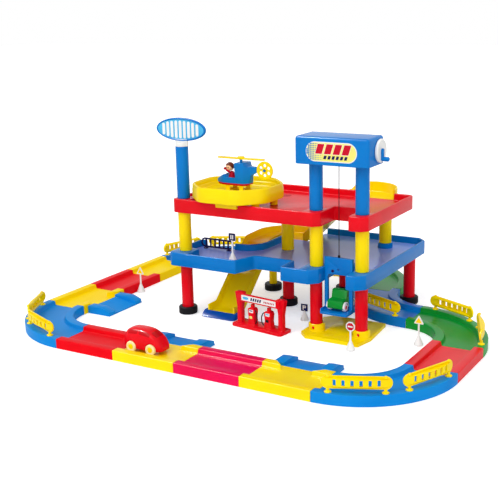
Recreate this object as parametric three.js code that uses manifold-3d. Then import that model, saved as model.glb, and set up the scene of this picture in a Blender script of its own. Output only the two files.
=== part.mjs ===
// Toy parking garage with a hand-cranked lift, standing inside a closed loop of snap-together road.
// Millimetres, +Z up. The origin is on the floor, under the middle of the road loop.
// +X runs along the front of the loop, +Y goes to the back.

import * as THREE from 'three';
import { mergeVertices } from 'three/addons/utils/BufferGeometryUtils.js';
import Module from 'manifold-3d';

const wasm = await Module();
wasm.setup();

// Fits
const CLEARANCE = 0.3; // between two pieces that touch
const RUNNING = 1.2; // between a moving piece and what guides it
const OVERRUN = 2; // how far a cutter passes the face that it cuts

// Road: moulded shells with two broad curbs and a sunken lane
const ROAD_LENGTH = 156;
const ROAD_WIDTH = 112;
const CURB_WIDTH = 20;
const CURB_TOP = 22;
const LANE_TOP = 12;
const CURB_BATTER = 2; // slope of the curb's inner face
const ROAD_SKIN = 2.5;
const TONGUE_WIDTH = 36;
const TONGUE_REACH = 12;
const TONGUE_THICK = 3;
const EAR_LENGTH = 24; // curb left at each end of a piece that opens to a bay
const FRONT_PIECES = 4;
const LEFT_PIECES = 3;
const RIGHT_PIECES = 1;

// Parking bays
const BAY_LENGTH = 128;
const BAY_DEPTH = 66;
const BAY_CURB = 24;
const BAY_CURB_TOP = 18;
const BAY_SKIN = 3;
const BAY_CURB_TAPER = 12;

// Fences on the road's corners
const FENCE_LENGTH = 80;
const FENCE_HEIGHT = 24;
const FENCE_THICK = 4;
const FENCE_LIFT = 8;
const FENCE_SLOTS = 6;
const FENCE_SLOT_WIDTH = 5;
const FENCE_SLOT_HEIGHT = 12;
const FENCE_PEG = 8;
const FENCE_FOOT_RADIUS = 7;
const FENCE_FOOT_THICK = 3;

// Levels
const MID_FLOOR = 140;
const UPPER_FLOOR = 266;
const DECK_SKIN = 3;
const RIM_ABOVE = 16;
const RIM_BELOW = 16;
const RIM_THICK = 6;
const RIB_THICK = 3;
const RIB_DEPTH = 6;

// Columns, legs and feet
const COLUMN_RADIUS = 15;
const LEG_RADIUS = 14;
const THIN_POST_RADIUS = 10;
const SPIGOT_RADIUS = 9;
const SPIGOT_LENGTH = 5;
const EDGE_BEVEL = 1.5;
const FOOT_RADIUS = 22.5;
const FOOT_HEIGHT = 18;
const BOSS_RADIUS = 19;
const SOCKET_WALL = 3;
const SOCKET_RING = 12;

// Plan of the garage, from its own origin
const BUILDING_BACK_X = 156; // from the front road's third joint to the garage's origin
const BUILDING_BACK_Y = 156; // from the middle of the left road's first piece to the garage's origin
const LEFT_COLUMN_X = -196;
const FRONT_COLUMN_Y = -104;
const MIDDLE_COLUMN_X = -10;
const MIDDLE_COLUMN_Y = 61;
const REAR_LEG_X = 68;
const REAR_LEG_Y = 216;
const RIGHT_LEG_X = 247;
const RIGHT_LEG_Y = 205;
const DECK_RIGHT = 278;
const MID_LEFT = -223;
const MID_FRONT = -138;
const MID_REAR = 245;
const UPPER_LEFT = -217;
const UPPER_FRONT = -124;
const UPPER_REAR = 148;
const DECK_CORNER_RADIUS = 12;
const DECK_CHAMFER = 20;
const SMALL_ROUND = 6;
const SHAFT_ROUND = 2; // rear corners of the lift's notch, sharper than the cabin's play
const CAP_REACH = 24; // how far a column's block reaches past its middle
const MID_SETBACK = 58; // how far the front edge steps back between the lobe and the tongue
const MID_LOBE_RIGHT = -39;
const MID_LOBE_SLANT = 19;
const MID_TONGUE_LEFT = 77;
const MID_TONGUE_SLANT = 18;
const MID_LOBE_REAR = 3;
const MID_LOBE_FILLET = 48;
const MID_INNER_LEFT = -62;
const MID_GAP_RIGHT = 0;
const UPPER_SLANT = 14;
const UPPER_DIP = 6; // the front rim is lower where the helipad looks over it
const UPPER_DIP_LENGTH = 60;

// Lift
const LIFT_X = 201;
const LIFT_Y = -92;
const LIFT_HALF_SPACING = 55;
const SHAFT_HALF_WIDTH = 35;
const SHAFT_REAR = -42;
const HEAD_BOTTOM = 388;
const HEAD_HEIGHT = 60;
const HEAD_LENGTH = 172;
const HEAD_DEPTH = 80;
const HEAD_WALL = 3;
const HEAD_ROUND = 9;
const CABIN_FLOOR = 62; // top of the platform at rest
const CABIN_SKIN = 5;
const CABIN_HEIGHT = 118;
const CABIN_PANEL = 38;
const CABIN_RAIL = 8;
const CABIN_FRONT = -124;
const CABIN_LIP = 3;
const CABIN_LIP_HEIGHT = 5;
const CABIN_HOLE = 2.5;
const CABIN_HOLE_SHARE = 0.3; // height of the hole in the front panel
const DRUM_RADIUS = 12;
const DRUM_LENGTH = 26;
const DRUM_FLANGE = 4;
const AXLE_RADIUS = 4;
const CORD_RADIUS = 1;
const CRANK_DISC_RADIUS = 25;
const CRANK_DISC_THICK = 6;
const CRANK_ARM_RADIUS = 17;
const CRANK_ARM_WIDTH = 9;
const CRANK_ARM_THICK = 4;
const CRANK_KNOB_RADIUS = 5;
const CRANK_KNOB_LENGTH = 16;
const BASE_SKIN = 8;
const BASE_MARGIN = 25;
const BASE_FRONT = -141;
const BASE_REAR = 12;
const BASE_CHAMFER = 20;
const BASE_SOCKET_RADIUS = 19;
const BASE_SOCKET_HEIGHT = 24;
const BASE_LANDING_HEIGHT = 5;
const SNAP_HOLE_RADIUS = 3;

// Slides
const SLIDE_WIDTH = 74;
const SLIDE_WALL = 4;
const SLIDE_WALL_HEIGHT = 18;
const SLIDE_SKIN = 4;
const SLIDE_TURN_INNER = 6;
const UPPER_SLIDE_X = 193; // middle of its mouth in the upper deck's rear edge
const LOWER_SLIDE_X = -106;
const UPPER_SLIDE_BRINK = 125;
const UPPER_SLIDE_END = -18;
const LOWER_SLIDE_BRINK = 98;
const LOWER_SLIDE_LOW = -66;
const LOWER_SLIDE_END = -98;
const LOWER_SLIDE_TOE = 9;
const SLIDE_EASE_SHARE = 0.12;

// Slide foot
const SLIDE_FOOT_MARGIN = 9;
const SLIDE_FOOT_DEPTH = 58;
const SLIDE_FOOT_HEIGHT = 13;
const SLIDE_FOOT_TOE = 2;

// Helipad
const PAD_POST_GAP = 4; // from the tower's post to the helipad's left side
const PAD_Y = -58;
const PAD_LENGTH = 226;
const PAD_DEPTH = 188;
const PAD_CUT = 52;
const PAD_WALL = 8;
const PAD_RIM_HEIGHT = 34;
const PAD_SKIN = 4;
const PAD_FLOOR_LIFT = 14;
const PAD_CLEAR = 4;
const PAD_FOOT_RADIUS = 9;
const PAD_RECESS = 9;

// Tower sign
const TOWER_TOP = 404;
const SIGN_LENGTH = 136;
const SIGN_HEIGHT = 54;
const SIGN_THICK = 8;
const SIGN_BORDER = 4;
const SIGN_BORDER_RISE = 1.5;
const SIGN_NECK = 12;
const SIGN_NECK_WIDTH = 34;

// Small accessories
const RAIL_LENGTH = 66;
const RAIL_HEIGHT = 22;
const RAIL_BAR = 3;
const RAIL_POSTS = 6;
const RAIL_X = -176;
const RAIL_Y = -17;
const CONE_RADIUS = 10;
const CONE_HEIGHT = 22;
const POLE_RADIUS = 2;
const PLATE_SIZE = 18;
const PLATE_THICK = 2;
const SIGN_POLE = 32;
const DECK_SIGN_X = -69;
const DECK_SIGN_Y = -98;
const STOP_X = 262;
const STOP_GAP = 22; // from the lift's base to the stop sign
const PARKING_X = 82;
const PARKING_Y = -30;
const PUMP_X = 22;
const PUMP_Y = -128;
const PUMP_LENGTH = 142;
const PUMP_DEPTH = 44;
const PUMP_PLINTH = 7;
const PUMP_HEIGHT = 80;
const PUMP_POST = 12;
const PUMP_BEAM_HEIGHT = 18;
const PUMP_BEAM_THICK = 6;
const PUMP_BODY_WIDTH = 22;
const PUMP_BODY_DEPTH = 14;
const PUMP_BODY_HEIGHT = 40;
const PUMP_HEAD_RADIUS = 9;
const PUMP_NECK_RADIUS = 5;
const PUMP_NECK = 7;
const PUMP_FLARE = 6; // how much a post widens to its top
const PUMP_TURN = -8; // degrees

// Vehicles
const BUGGY_LENGTH = 60;
const BUGGY_WIDTH = 44;
const BUGGY_BODY_WIDTH = 36;
const BUGGY_HEIGHT = 44;
const BUGGY_WHEEL_RADIUS = 9;
const BUGGY_FENDER_THICK = 2.5;
const BUGGY_SIDE_SHARES = [ // of half the length, of the height, of the rounding
  [-1, 0.16, 0.3], [1, 0.16, 0.3], [1, 0.56, 0.5], [0.3, 0.6, 0],
  [0.16, 1, 0.5], [-0.34, 1, 0.5], [-0.4, 0.84, 0], [-1, 0.8, 0.4],
];
const BUGGY_WHEEL_SHARES = [-0.55, 0.55];
const GLASS_DEPTH = 1;
const BUGGY_GLASS_SHARES = [ // of half the length, of the height
  [-0.26, 0.66], [0.2, 0.66], [0.1, 0.92], [-0.26, 0.92],
];
const CAR_LENGTH = 100;
const CAR_WIDTH = 50;
const CAR_HEIGHT = 52;
const CAR_WHEEL_RADIUS = 12;
const CAR_SIDE_SHARES = [ // of half the length, of the height, of the rounding
  [-1, 0.15, 0.5], [1, 0.15, 0.5], [1, 0.5, 1], [0.52, 0.66, 1],
  [0.16, 1, 1.6], [-0.5, 1, 1.6], [-1, 0.56, 1],
];
const CAR_FRONT_SHARES = [ // of half the width, of the height, of the rounding
  [-1, 0, 0], [1, 0, 0], [1, 0.6, 0.4], [0.72, 1, 0.6], [-0.72, 1, 0.6], [-1, 0.6, 0.4],
];
const CAR_WHEEL_SHARES = [-0.5, 0.5];
const CAR_GLASS_SHARES = [ // of half the length, of the height
  [-0.62, 0.6], [0.36, 0.62], [0.12, 0.88], [-0.4, 0.88],
];
const CAR_FROM_JOINT = 50; // from the road joint behind it to the car's middle
const WHEEL_WIDTH = 8;
const WHEEL_HUB_SHARE = 0.55;
const WHEEL_DISH = 1.5;
const WHEEL_AXLE_RADIUS = 2.5;
const WHEEL_PLAY = 0.6;

// Helicopter
const HELI_NOSE = 62; // from the mast to the nose
const HELI_WIDTH = 38;
const HELI_WALL = 4;
const HELI_BODY_HEIGHT = 52;
const HELI_SKID_HEIGHT = 16;
const HELI_SKID_RADIUS = 3;
const HELI_SKID_LENGTH = 84;
const HELI_STRUT_SPACING = 36;
const HELI_STRUT_WIDTH = 6;
const HELI_MAST_HEIGHT = 10;
const HELI_MAST_RADIUS = 3.5;
const HELI_ROTOR_LENGTH = 124;
const HELI_ROTOR_WIDTH = 12;
const HELI_ROTOR_THICK = 3;
const HELI_HUB_RADIUS = 8;
const HELI_TAIL_X = 66; // from the mast to the tail rotor's axis
const HELI_TAIL_RADIUS = 20;
const HELI_TAIL_RIM = 3;
const HELI_TAIL_THICK = 4;
const HELI_TAIL_HUB_RADIUS = 5.6;
const HELI_TAIL_SPOKES = 3;
const HELI_BOOM_THICK = 10;
const HELI_SIDE_SHARES = [ // of the nose's reach, of the body's height, of the rounding
  [-0.88, 0, 1], [0.42, 0, 1], [0.46, 0.45, 1], [0.7, 0.6, 0],
  [0.7, 0.82, 0.4], [0.3, 0.84, 0.6], [0.24, 1, 0.5], [-0.14, 1, 0.5],
  [-0.09, 0.34, 0], [-0.5, 0.34, 0.3], [-0.62, 0.46, 0.4], [-1, 0.2, 0.8],
];
const HELI_PLAN_SHARES = [ // of the nose's reach, of half the width, of the rounding
  [-1, -0.42, 1], [-0.6, -1, 1.4], [0.24, -1, 1], [0.46, -0.34, 0], [0.7, -0.28, 0],
  [0.7, 0.28, 0], [0.46, 0.34, 0], [0.24, 1, 1], [-0.6, 1, 1.4], [-1, 0.42, 1],
];
const HELI_COCKPIT_SHARES = [-0.5, -0.1]; // of the nose's reach
const HELI_SEAT_SHARE = 0.14; // of the body's height
const HELI_TAIL_SHARE = 0.72; // of the body's height
const PILOT_X = -19; // from the mast
const PILOT_HEAD_RADIUS = 10;
const PILOT_HEAD_Z = 40; // above the helicopter's belly
const PILOT_BODY_RADIUS = 8;
const PILOT_SHOULDER_SHARE = 0.82; // of the head's height

// Fineness of round forms
const ROUND_STEPS = 16;
const WHEEL_STEPS = 12;
const BALL_STEPS = 5;
const SOCKET_STEPS = 8;
const BOSS_STEPS = 12;
const CORNER_STEPS = 8;
const SMALL_STEPS = 8;
const FILLET_STEPS = 2;
const DECK_STEPS = 3;
const TURN_STEPS = 6;

// Derived levels and places
const PAD_X = LEFT_COLUMN_X + COLUMN_RADIUS + PAD_POST_GAP + PAD_LENGTH / 2;
const CORNER = ROAD_LENGTH + ROAD_WIDTH / 2;
const HALF_X = (FRONT_PIECES * ROAD_LENGTH) / 2 + CORNER;
const HALF_Y = (LEFT_PIECES * ROAD_LENGTH) / 2 + CORNER;
const MID_TOP = MID_FLOOR + RIM_ABOVE;
const MID_BOTTOM = MID_FLOOR - RIM_BELOW;
const UPPER_TOP = UPPER_FLOOR + RIM_ABOVE;
const UPPER_BOTTOM = UPPER_FLOOR - RIM_BELOW;
const SLIDE_HALF = SLIDE_WIDTH / 2;
const SLIDE_NEAR = UPPER_REAR + SLIDE_TURN_INNER; // near side of the rear run
const SLIDE_MIDDLE = SLIDE_NEAR + SLIDE_HALF;
const LOWER_PIVOT_X = LOWER_SLIDE_X + SLIDE_HALF + SLIDE_TURN_INNER;
const UPPER_PIVOT_X = UPPER_SLIDE_X - SLIDE_HALF - SLIDE_TURN_INNER;
const HEAD_TOP = HEAD_BOTTOM + HEAD_HEIGHT;
const SPIGOT_HOLE = (SPIGOT_RADIUS + CLEARANCE) / Math.cos(Math.PI / SOCKET_STEPS);
const SPIGOT_HOLE_DEPTH = SPIGOT_LENGTH + CLEARANCE;

// Colours
const plastic = (color) => new THREE.MeshStandardMaterial({ color, roughness: 0.3, metalness: 0 });
const BLUE = 0x0876c8;
const RED = 0xe80c20;
const YELLOW = 0xffe000;
const GREEN = 0x149632;
const BLACK = 0x16161a;
const WHITE = 0xf4f4f0;

const garage = new THREE.Group();
garage.name = 'toy_parking_garage';
const building = new THREE.Group(); // the garage proper, which moves with the loop that it stands in
building.name = 'garage_building';
building.position.set(ROAD_LENGTH - BUILDING_BACK_X, ROAD_LENGTH - BUILDING_BACK_Y, 0);
garage.add(building);

// Solids

/** A closed geometry as a solid for joining and cutting. */
function solidOf(geometry) {
  const plain = geometry.clone();
  plain.deleteAttribute('normal');
  plain.deleteAttribute('uv');
  const merged = mergeVertices(plain);
  const mesh = new wasm.Mesh({
    numProp: 3,
    vertProperties: new Float32Array(merged.attributes.position.array),
    triVerts: new Uint32Array(merged.index.array),
  });
  return new wasm.Manifold(mesh);
}

/** A solid as a geometry. */
function geometryOf(solid) {
  const mesh = solid.getMesh();
  const geometry = new THREE.BufferGeometry();
  geometry.setAttribute('position', new THREE.BufferAttribute(mesh.vertProperties, mesh.numProp));
  geometry.setIndex(new THREE.BufferAttribute(mesh.triVerts, 1));
  geometry.computeVertexNormals();
  return geometry;
}

/** Joins a list of solids. */
const join = (...solids) => solids.reduce((whole, next) => whole.add(next));

/** Cuts a list of solids from the first. */
const cut = (whole, ...tools) => tools.reduce((rest, next) => rest.subtract(next), whole);

/** A closed section carried through stations, each with a place and the two axes of the section. */
function sweep(section, stations) {
  const count = section.length;
  const positions = [];
  for (const { at, side, up } of stations) {
    for (const point of section) {
      const place = at.clone().addScaledVector(side, point.x).addScaledVector(up, point.y);
      positions.push(place.x, place.y, place.z);
    }
  }
  const index = [];
  for (let ring = 0; ring < stations.length - 1; ring += 1) {
    for (let k = 0; k < count; k += 1) {
      const a = ring * count + k;
      const b = ring * count + ((k + 1) % count);
      index.push(a, b, b + count, a, b + count, a + count);
    }
  }
  const last = (stations.length - 1) * count;
  for (const [a, b, c] of THREE.ShapeUtils.triangulateShape(section, [])) {
    index.push(last + a, last + b, last + c, c, b, a);
  }
  let volume = 0;
  const corner = (i) => new THREE.Vector3().fromArray(positions, 3 * i);
  for (let i = 0; i < index.length; i += 3) {
    volume += corner(index[i]).dot(corner(index[i + 1]).cross(corner(index[i + 2])));
  }
  if (volume < 0) {
    index.reverse();
  }
  const geometry = new THREE.BufferGeometry();
  geometry.setAttribute('position', new THREE.Float32BufferAttribute(positions, 3));
  geometry.setIndex(index);
  return solidOf(geometry);
}

const X_AXIS = new THREE.Vector3(1, 0, 0);
const Y_AXIS = new THREE.Vector3(0, 1, 0);
const Z_AXIS = new THREE.Vector3(0, 0, 1);
const point2 = (x, y) => new THREE.Vector2(x, y);
const UPRIGHT = new THREE.Matrix4().makeBasis(Y_AXIS, Z_AXIS, X_AXIS); // stands a lathe's Y axis up

/** An outline in the XY plane, raised from low to high. */
function prism(outline, low, high) {
  return sweep(outline, [low, high].map((z) => ({
    at: new THREE.Vector3(0, 0, z), side: X_AXIS, up: Y_AXIS,
  })));
}

/** A profile drawn in Y and Z, run along X. */
function alongX(profile, from, to) {
  return sweep(profile, [from, to].map((x) => ({
    at: new THREE.Vector3(x, 0, 0), side: Y_AXIS, up: Z_AXIS,
  })));
}

/** A profile drawn in X and Z, run along Y. */
function alongY(profile, from, to) {
  return sweep(profile, [from, to].map((y) => ({
    at: new THREE.Vector3(0, y, 0), side: X_AXIS, up: Z_AXIS,
  })));
}

/** A block between two opposite corners. */
function block(x0, y0, z0, x1, y1, z1) {
  return prism([point2(x0, y0), point2(x1, y0), point2(x1, y1), point2(x0, y1)], z0, z1);
}

/** A turned body on a vertical axis through x and y; the profile is pairs of radius and height. */
function turned(x, y, profile, steps = ROUND_STEPS) {
  const points = profile.map(([radius, height]) => point2(radius, height));
  const geometry = new THREE.LatheGeometry(points, steps);
  geometry.applyMatrix4(UPRIGHT);
  return solidOf(geometry).translate([x, y, 0]);
}

/** A plain round bar on a vertical axis. */
function rod(x, y, radius, low, high, steps = ROUND_STEPS) {
  return turned(x, y, [[0, low], [radius, low], [radius, high], [0, high]], steps);
}

/** A round body turned about the X axis through y and z: pairs of radius and x. */
function turnedX(y, z, profile, steps = ROUND_STEPS) {
  return turned(0, 0, profile, steps).rotate([0, 90, 0]).translate([0, y, z]);
}

/** A round body turned about the Y axis through x and z: pairs of radius and y. */
function turnedY(x, z, profile, steps = ROUND_STEPS) {
  return turned(0, 0, profile, steps).rotate([-90, 0, 0]).translate([x, 0, z]);
}

/** An outline whose corners, given as x, y and radius, are rounded. */
function rounded(corners, steps = FILLET_STEPS) {
  const outline = [];
  corners.forEach(([x, y, radius], k) => {
    const [px, py] = corners[(k + corners.length - 1) % corners.length];
    const [nx, ny] = corners[(k + 1) % corners.length];
    const here = point2(x, y);
    const back = point2(px, py).sub(here).normalize();
    const ahead = point2(nx, ny).sub(here).normalize();
    const half = Math.acos(THREE.MathUtils.clamp(back.dot(ahead), -1, 1)) / 2;
    if (!radius) {
      outline.push(here);
      return;
    }
    const reach = radius / Math.tan(half);
    const bisector = back.clone().add(ahead).normalize();
    const middle = here.clone().addScaledVector(bisector, radius / Math.sin(half));
    const start = here.clone().addScaledVector(back, reach).sub(middle);
    const end = here.clone().addScaledVector(ahead, reach).sub(middle);
    const from = start.angle();
    let turn = end.angle() - from;
    if (turn > Math.PI) turn -= 2 * Math.PI;
    if (turn < -Math.PI) turn += 2 * Math.PI;
    for (let i = 0; i <= steps; i += 1) {
      const angle = from + (turn * i) / steps;
      outline.push(point2(Math.cos(angle), Math.sin(angle)).multiplyScalar(radius).add(middle));
    }
  });
  return outline;
}

/** Corners drawn in by a distance, with their rounding kept parallel; the corners run anticlockwise. */
function inset(corners, distance) {
  return corners.map(([x, y, radius = 0], k) => {
    const here = point2(x, y);
    const before = point2(...corners[(k + corners.length - 1) % corners.length]);
    const after = point2(...corners[(k + 1) % corners.length]);
    const along = here.clone().sub(before).normalize();
    const onward = after.clone().sub(here).normalize();
    const normal = point2(-along.y - onward.y, along.x + onward.x).normalize();
    const lean = normal.dot(point2(-onward.y, onward.x));
    const place = here.addScaledVector(normal, distance / lean);
    const outward = along.cross(onward) > 0 ? -distance : distance;
    return [place.x, place.y, radius ? Math.max(radius + outward, 0) : 0];
  });
}

/** Adds a named mesh to the garage. */
function add(name, solid, color, parent = garage) {
  const mesh = new THREE.Mesh(geometryOf(solid), plastic(color));
  mesh.name = name;
  parent.add(mesh);
}

/** Adds a named mesh to the garage proper. */
const build = (name, solid, color) => add(name, solid, color, building);

// Road

const half = ROAD_WIDTH / 2;
const laneHalf = half - CURB_WIDTH;

/** Half section of the road shell, from the outer edge inwards; side is 1 or -1. */
const roadSection = [
  point2(-half, 0),
  point2(-half + ROAD_SKIN, 0),
  point2(-half + ROAD_SKIN, CURB_TOP - ROAD_SKIN),
  point2(-laneHalf - ROAD_SKIN, CURB_TOP - ROAD_SKIN),
  point2(-laneHalf + CURB_BATTER - ROAD_SKIN, LANE_TOP - ROAD_SKIN),
  point2(laneHalf - CURB_BATTER + ROAD_SKIN, LANE_TOP - ROAD_SKIN),
  point2(laneHalf + ROAD_SKIN, CURB_TOP - ROAD_SKIN),
  point2(half - ROAD_SKIN, CURB_TOP - ROAD_SKIN),
  point2(half - ROAD_SKIN, 0),
  point2(half, 0),
  point2(half, CURB_TOP),
  point2(laneHalf, CURB_TOP),
  point2(laneHalf - CURB_BATTER, LANE_TOP),
  point2(-laneHalf + CURB_BATTER, LANE_TOP),
  point2(-laneHalf, CURB_TOP),
  point2(-half, CURB_TOP),
];

/** The tongue under the lane at the end x, which reaches into the next piece. */
function tongue(x) {
  const root = LANE_TOP - ROAD_SKIN;
  const low = root - TONGUE_THICK - CLEARANCE;
  return join(
    block(x - TONGUE_REACH, -TONGUE_WIDTH / 2, low, x, TONGUE_WIDTH / 2, root + ROAD_SKIN / 2),
    block(x - TONGUE_REACH, -TONGUE_WIDTH / 2, low, x + TONGUE_REACH, TONGUE_WIDTH / 2, root - CLEARANCE),
  );
}

/** One straight, along X from the origin; opening is the side whose curb opens to a bay. */
function straight(opening = 0) {
  const end = ROAD_LENGTH - CLEARANCE / 2;
  let body = sweep(roadSection, [CLEARANCE / 2, end].map((x) => ({
    at: new THREE.Vector3(x, 0, 0), side: Y_AXIS, up: Z_AXIS,
  })));
  if (opening) {
    const inner = opening * (laneHalf - CURB_BATTER - ROAD_SKIN);
    const outer = opening * (half + OVERRUN);
    const gap = [
      point2(EAR_LENGTH + CURB_WIDTH, inner),
      point2(ROAD_LENGTH - EAR_LENGTH - CURB_WIDTH, inner),
      point2(ROAD_LENGTH - EAR_LENGTH, outer),
      point2(EAR_LENGTH, outer),
    ];
    const mouth = prism(gap, LANE_TOP, CURB_TOP + OVERRUN);
    const sill = prism(gap.map((p) => p.clone()), LANE_TOP - ROAD_SKIN, LANE_TOP);
    const keep = block(CLEARANCE / 2, -half, 0, end, half, CURB_TOP);
    body = join(cut(body, mouth), sill.intersect(keep));
  }
  return join(body, tongue(end));
}

/** One quarter turn about the origin, from the +X side to the +Y side; reversed puts the tongue at +X. */
function corner(reversed) {
  const stations = [];
  const trim = CLEARANCE / 2 / ROAD_LENGTH;
  for (let k = 0; k <= CORNER_STEPS; k += 1) {
    const angle = trim + ((Math.PI / 2 - 2 * trim) * k) / CORNER_STEPS;
    const out = new THREE.Vector3(Math.cos(angle), Math.sin(angle), 0);
    stations.push({ at: out.clone().multiplyScalar(ROAD_LENGTH), side: out, up: Z_AXIS });
  }
  const plug = tongue(-CLEARANCE / 2);
  const end = reversed
    ? plug.rotate([0, 0, -90]).translate([ROAD_LENGTH, 0, 0])
    : plug.rotate([0, 0, 180]).translate([0, ROAD_LENGTH, 0]);
  return join(sweep(roadSection, stations), end);
}

/** A picket panel with round ends on two pegs, standing along X over the origin. */
function fence() {
  const end = FENCE_HEIGHT / 2;
  const reach = FENCE_LENGTH / 2;
  const low = FENCE_LIFT;
  const outline = rounded([
    [-reach, low, end], [reach, low, end],
    [reach, low + FENCE_HEIGHT, end], [-reach, low + FENCE_HEIGHT, end],
  ]);
  const slots = [];
  const pitch = (FENCE_LENGTH - FENCE_HEIGHT) / FENCE_SLOTS;
  for (let k = 0; k < FENCE_SLOTS; k += 1) {
    const x = (k + 0.5 - FENCE_SLOTS / 2) * pitch;
    const z = low + end;
    slots.push(block(
      x - FENCE_SLOT_WIDTH / 2, -FENCE_THICK, z - FENCE_SLOT_HEIGHT / 2,
      x + FENCE_SLOT_WIDTH / 2, FENCE_THICK, z + FENCE_SLOT_HEIGHT / 2,
    ));
  }
  const panel = cut(alongY(outline, -FENCE_THICK / 2, FENCE_THICK / 2), ...slots);
  const pegs = [-1, 1].flatMap((side) => {
    const x = side * (reach - end - FENCE_PEG / 2);
    return [
      block(
        x - FENCE_PEG / 2, -FENCE_THICK / 2, 0,
        x + FENCE_PEG / 2, FENCE_THICK / 2, low + FENCE_SLOT_WIDTH,
      ),
      rod(x, 0, FENCE_FOOT_RADIUS, -ROAD_SKIN / 2, FENCE_FOOT_THICK, SMALL_STEPS),
    ];
  });
  return join(panel, ...pegs);
}

/** A fence on the outer curb of a quarter turn, at an angle in degrees from the turn's +X side. */
function fenceAt(angle) {
  const radius = ROAD_LENGTH + half - CURB_WIDTH / 2;
  return fence().translate([0, -radius, CURB_TOP]).rotate([0, 0, angle + 90]);
}

// A traffic sign: a white cone with a pole and a plate; corners is the plate's number of sides
function signPost(corners, pole = SIGN_POLE) {
  const base = turned(0, 0, [
    [0, 0], [CONE_RADIUS, 0], [CONE_RADIUS, FENCE_FOOT_THICK], [POLE_RADIUS, CONE_HEIGHT],
    [POLE_RADIUS, pole], [0, pole],
  ], SMALL_STEPS);
  const turn = corners % 2 ? 0 : 180 / corners;
  const plate = turnedY(0, 0, [
    [0, -PLATE_THICK], [PLATE_SIZE / 2 / Math.cos(Math.PI / corners), -PLATE_THICK],
    [PLATE_SIZE / 2 / Math.cos(Math.PI / corners), 0], [0, 0],
  ], corners).rotate([0, turn, 0]);
  return join(base, plate.translate([0, PLATE_THICK / 2, pole + PLATE_SIZE / 2 - POLE_RADIUS]));
}

// Straights: place of the start, heading in degrees, colour, side that opens
const frontY = -HALF_Y + half;
const leftX = -HALF_X + half;
const rearY = HALF_Y - half;
const rightX = HALF_X - half;
const startX = -HALF_X + CORNER;
const startY = -HALF_Y + CORNER;
const straights = [
  ['road_front_1', startX, frontY, 0, RED, 0],
  ['road_front_2', startX + ROAD_LENGTH, frontY, 0, YELLOW, 1],
  ['road_front_3', startX + 2 * ROAD_LENGTH, frontY, 0, RED, 0],
  ['road_front_4', startX + 3 * ROAD_LENGTH, frontY, 0, YELLOW, 1],
  ['road_right', rightX, startY, 90, RED, 0],
  ['road_rear_1', startX + 2 * ROAD_LENGTH, rearY, 180, YELLOW, 0],
  ['road_rear_2', startX + ROAD_LENGTH, rearY, 180, RED, 0],
  ['road_left_1', leftX, startY + 3 * ROAD_LENGTH, 270, YELLOW, 0],
  ['road_left_2', leftX, startY + 2 * ROAD_LENGTH, 270, RED, 0],
  ['road_left_3', leftX, startY + ROAD_LENGTH, 270, YELLOW, 1],
];
for (const [name, x, y, heading, color, opening] of straights) {
  add(name, straight(opening).rotate([0, 0, heading]).translate([x, y, 0]), color);
}

// Quarter turns: centre of the turn, first angle, colour, angles of the fences, bend to the other side
const turns = [
  ['corner_front_left', startX, startY, 180, BLUE, [28, 60]],
  ['corner_front_right', -startX, startY, 270, BLUE, [20, 52]],
  ['corner_rear_right', -startX, startY + ROAD_LENGTH, 0, GREEN, [28, 62]],
  ['corner_inner', -startX, startY + 3 * ROAD_LENGTH, 180, BLUE, [66], true],
  ['corner_rear_middle', -startX - 2 * ROAD_LENGTH, startY + 3 * ROAD_LENGTH, 0, GREEN, []],
  ['corner_rear_left', startX, startY + 3 * ROAD_LENGTH, 90, BLUE, [28, 62]],
];
for (const [name, x, y, heading, color, fences, reversed = false] of turns) {
  const whole = join(corner(reversed), ...fences.map((angle) => fenceAt(angle)));
  add(name, whole.rotate([0, 0, heading]).translate([x, y, 0]), color);
}

// Bays

/** A sloping parking plate between two raised curbs; its road side is at y = 0 and it reaches to +Y. */
function bay() {
  const reach = BAY_LENGTH / 2;
  const plate = alongX([
    point2(CLEARANCE, 0), point2(BAY_DEPTH, 0), point2(BAY_DEPTH, BAY_SKIN), point2(CLEARANCE, LANE_TOP),
  ], -reach, reach);
  const hollow = alongX([
    point2(BAY_SKIN, -OVERRUN), point2(BAY_DEPTH / 2, -OVERRUN), point2(BAY_SKIN, LANE_TOP - 2 * BAY_SKIN),
  ], -reach + BAY_SKIN, reach - BAY_SKIN);
  const curbs = [-1, 1].map((side) => {
    const outer = side * reach;
    const inner = side * (reach - BAY_CURB);
    const outline = rounded([
      [Math.min(outer, inner), CLEARANCE, 0], [Math.max(outer, inner), CLEARANCE, 0],
      [Math.max(outer, inner), BAY_DEPTH, BAY_SKIN], [Math.min(outer, inner), BAY_DEPTH, BAY_SKIN],
    ]);
    const slope = alongX([
      point2(0, 0), point2(BAY_DEPTH, 0), point2(BAY_DEPTH, BAY_SKIN + BAY_CURB_TAPER / 2),
      point2(BAY_DEPTH - BAY_CURB, BAY_CURB_TOP), point2(0, BAY_CURB_TOP),
    ], -reach, reach);
    return prism(outline, 0, BAY_CURB_TOP).intersect(slope);
  });
  return join(cut(plate, hollow), ...curbs);
}
const bays = [
  ['bay_front_left', startX + ROAD_LENGTH + ROAD_LENGTH / 2, -HALF_Y + ROAD_WIDTH, 0],
  ['bay_front_right', startX + 3 * ROAD_LENGTH + ROAD_LENGTH / 2, -HALF_Y + ROAD_WIDTH, 0],
  ['bay_left', -HALF_X + ROAD_WIDTH, startY + ROAD_LENGTH / 2, 270],
];
for (const [name, x, y, heading] of bays) {
  add(name, bay().rotate([0, 0, heading]).translate([x, y, 0]), BLUE);
}

// Columns

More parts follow.
